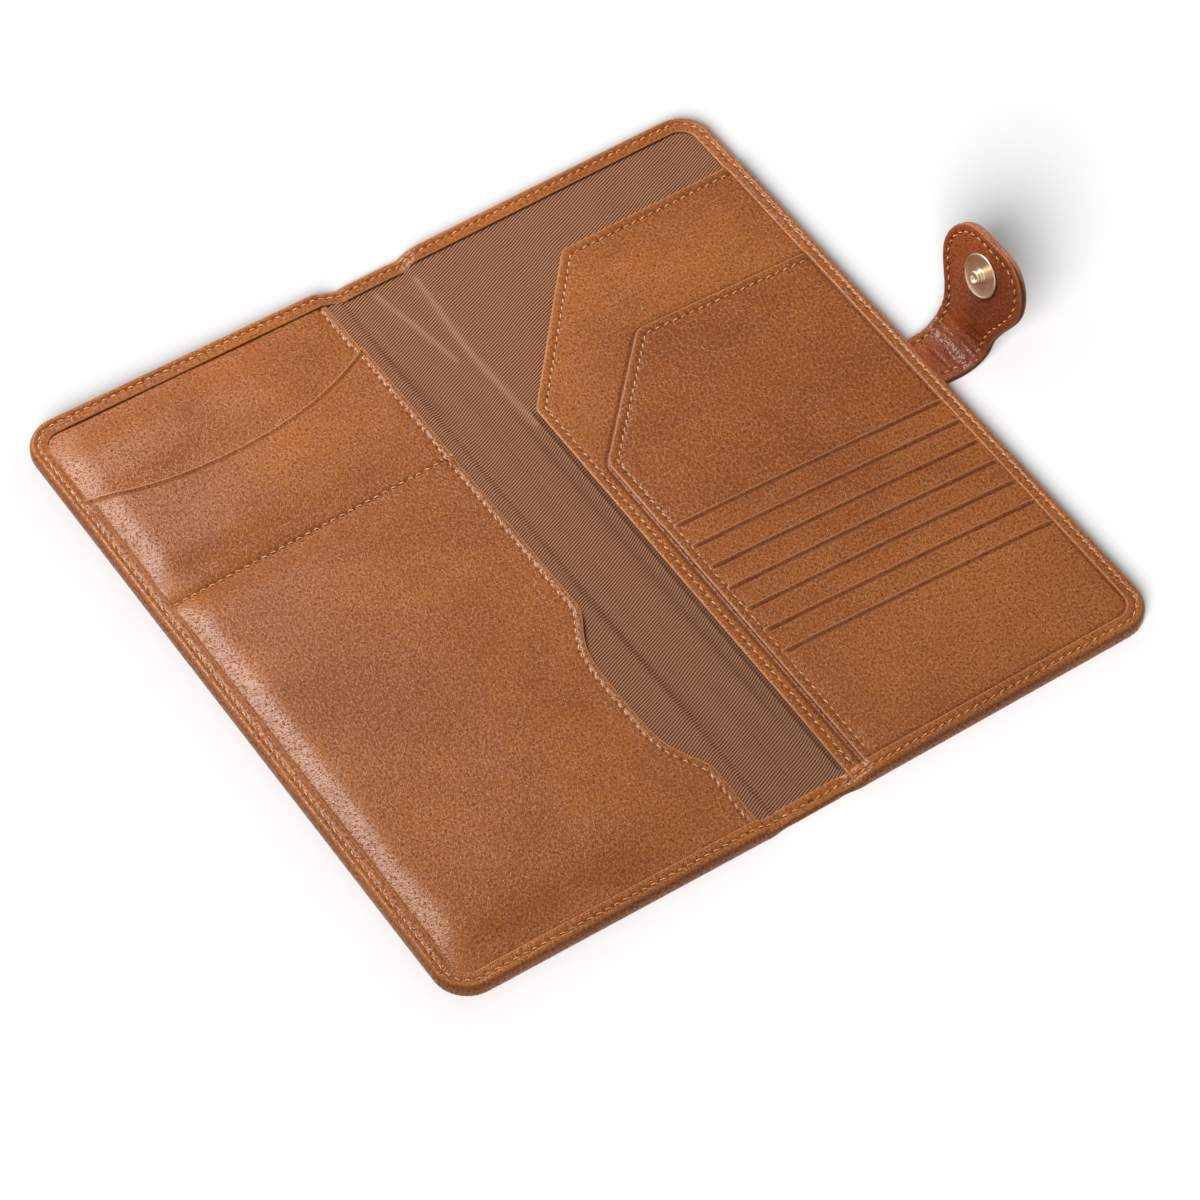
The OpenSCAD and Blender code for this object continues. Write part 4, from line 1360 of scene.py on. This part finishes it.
stud_profile = [(6.5, 0), (6.88, 0.08), (7, 0.3), (7, 0.5), (6.92, 0.68), (6.75, 0.8), (6.5, 0.8),
                (6.32, 0.68), (6.05, 0.58), (4, 0.5), (2.7, 0.46), (2.35, 0.52), (2.16, 0.66),
                (2.1, 0.9), (2.1, 1.6), (1.98, 1.72), (1.98, 1.88), (2.1, 2.0), (2.1, 2.62),
                (2.02, 2.84), (1.85, 2.97), (1.6, 3), (1.38, 2.92), (1.28, 2.7), (1.22, 2.3),
                (1, 2.15), (0.2, 2.1)]
stud = spin("snap_stud_turned", stud_profile,
            lambda s, t, h: place_strap(s, snap_at + t, layer_t + 0.1 + h))
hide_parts("snap_stud")
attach(stud, "strap_tab")
for node, metal in (("snap_socket_cap", brass), ("snap_socket_plate", brass),
                    ("snap_socket_washer", brass), ("snap_stud_washer", brass),
                    ("snap_socket_magnet", magnet_metal)):
    frame["nodes"][node].data.materials.clear()
    frame["nodes"][node].data.materials.append(metal)


# ---- Studio --------------------------------------------------------------------------
# A plain white table in a white room. A soft key lamp and a small one for sheen stand beyond
# the wallet and a weak wide one above its left side; a broad lamp from the near left only
# lights the table, and leaves the wallet's soft shadow on it.
table_glow = 0.05
room_light = 0.3


def plainly_seen(tree):
    """1 for what the camera sees, straight or in a reflection, and 0 for what only lights."""
    path = add(tree, "ShaderNodeLightPath").outputs
    return calc(tree, "MAXIMUM", path["Is Camera Ray"],
                calc(tree, "MAXIMUM", path["Is Glossy Ray"], path["Is Transmission Ray"]))


def make_table():
    """A plain white table top."""
    material, tree, shader = new_material("white_paper")
    feed(tree, shader, {
        "Base Color": (0.8, 0.8, 0.8, 1), "Roughness": 0.9, "Specular IOR Level": 0.1,
        "Emission Color": (1, 1, 1, 1),
        "Emission Strength": calc(tree, "MULTIPLY", plainly_seen(tree), table_glow)})
    mesh = bmesh.new()
    bmesh.ops.create_grid(mesh, x_segments=8, y_segments=8, size=3)
    data = bpy.data.meshes.new("white_table")
    mesh.to_mesh(data)
    mesh.free()
    data.materials.append(material)
    top = bpy.data.objects.new("white_table", data)
    bpy.context.scene.collection.objects.link(top)
    return top


table = make_table()

world = bpy.data.worlds.new("white_room")
bpy.context.scene.world = world
world.use_nodes = True
room = world.node_tree
room_level = calc(room, "MULTIPLY_ADD", plainly_seen(room), 1 - room_light, room_light)
feed(room, room.nodes["Background"], {"Color": (1, 1, 1, 1), "Strength": room_level})


def lamp(name, where, size, power):
    """A soft square lamp that faces the wallet, or with no size a wide far-off one."""
    light = bpy.data.lights.new(name, "AREA" if size else "SUN")
    light.energy = power
    if size:
        light.size = size
    else:
        light.angle = math.radians(30)
    holder = bpy.data.objects.new(name, light)
    bpy.context.scene.collection.objects.link(holder)
    holder.location = where
    holder.rotation_euler = mathutils.Vector(where).to_track_quat("Z", "Y").to_euler()
    return holder


lamps = [lamp("key_lamp", (-0.15, 0.385, 0.63), 0.28, 5.0),
         lamp("sheen_lamp", (0.02, 0.53, 0.62), 0.24, 1.9),
         lamp("fill_lamp", (-0.8, 0.3, 1.2), 0.6, 2.5)]
shade_lamp = lamp("shade_lamp", (-0.75, -0.66, 0.72), 0, 4.8)
table_only = bpy.data.collections.new("table_only")
table_only.objects.link(table)
shade_lamp.light_linking.receiver_collection = table_only
wallet_only = bpy.data.collections.new("wallet_only")
wallet_only.objects.link(table)
wallet_only.collection_objects[0].light_linking.link_state = "EXCLUDE"
for wallet_lamp in lamps:
    wallet_lamp.light_linking.receiver_collection = wallet_only

# A long lens looks down on the wallet from the near left.
view_from, view_up = math.radians(-33.43), math.radians(52.64)
view_target = np.array([-9.68, -24.52, 3]) * MM
view_distance, view_roll = 1.4337, math.radians(-0.46)
back_way = np.array([math.sin(view_from) * math.cos(view_up),
                     -math.cos(view_from) * math.cos(view_up), math.sin(view_up)])
right_way = np.array([math.cos(view_from), math.sin(view_from), 0])
up_way = np.cross(back_way, right_way)
camera = bpy.data.objects.new("camera", bpy.data.cameras.new("camera"))
camera.data.lens, camera.data.sensor_width = 150, 36
camera.data.clip_end = 20
axes = np.stack([right_way, up_way, back_way], 1)
camera.matrix_world = (mathutils.Matrix.Translation(view_target + back_way * view_distance)
                       @ mathutils.Matrix(axes.tolist()).to_4x4()
                       @ mathutils.Matrix.Rotation(view_roll, 4, "Z"))
bpy.context.scene.collection.objects.link(camera)
bpy.context.scene.camera = camera
bpy.context.scene.view_settings.view_transform = "Standard"
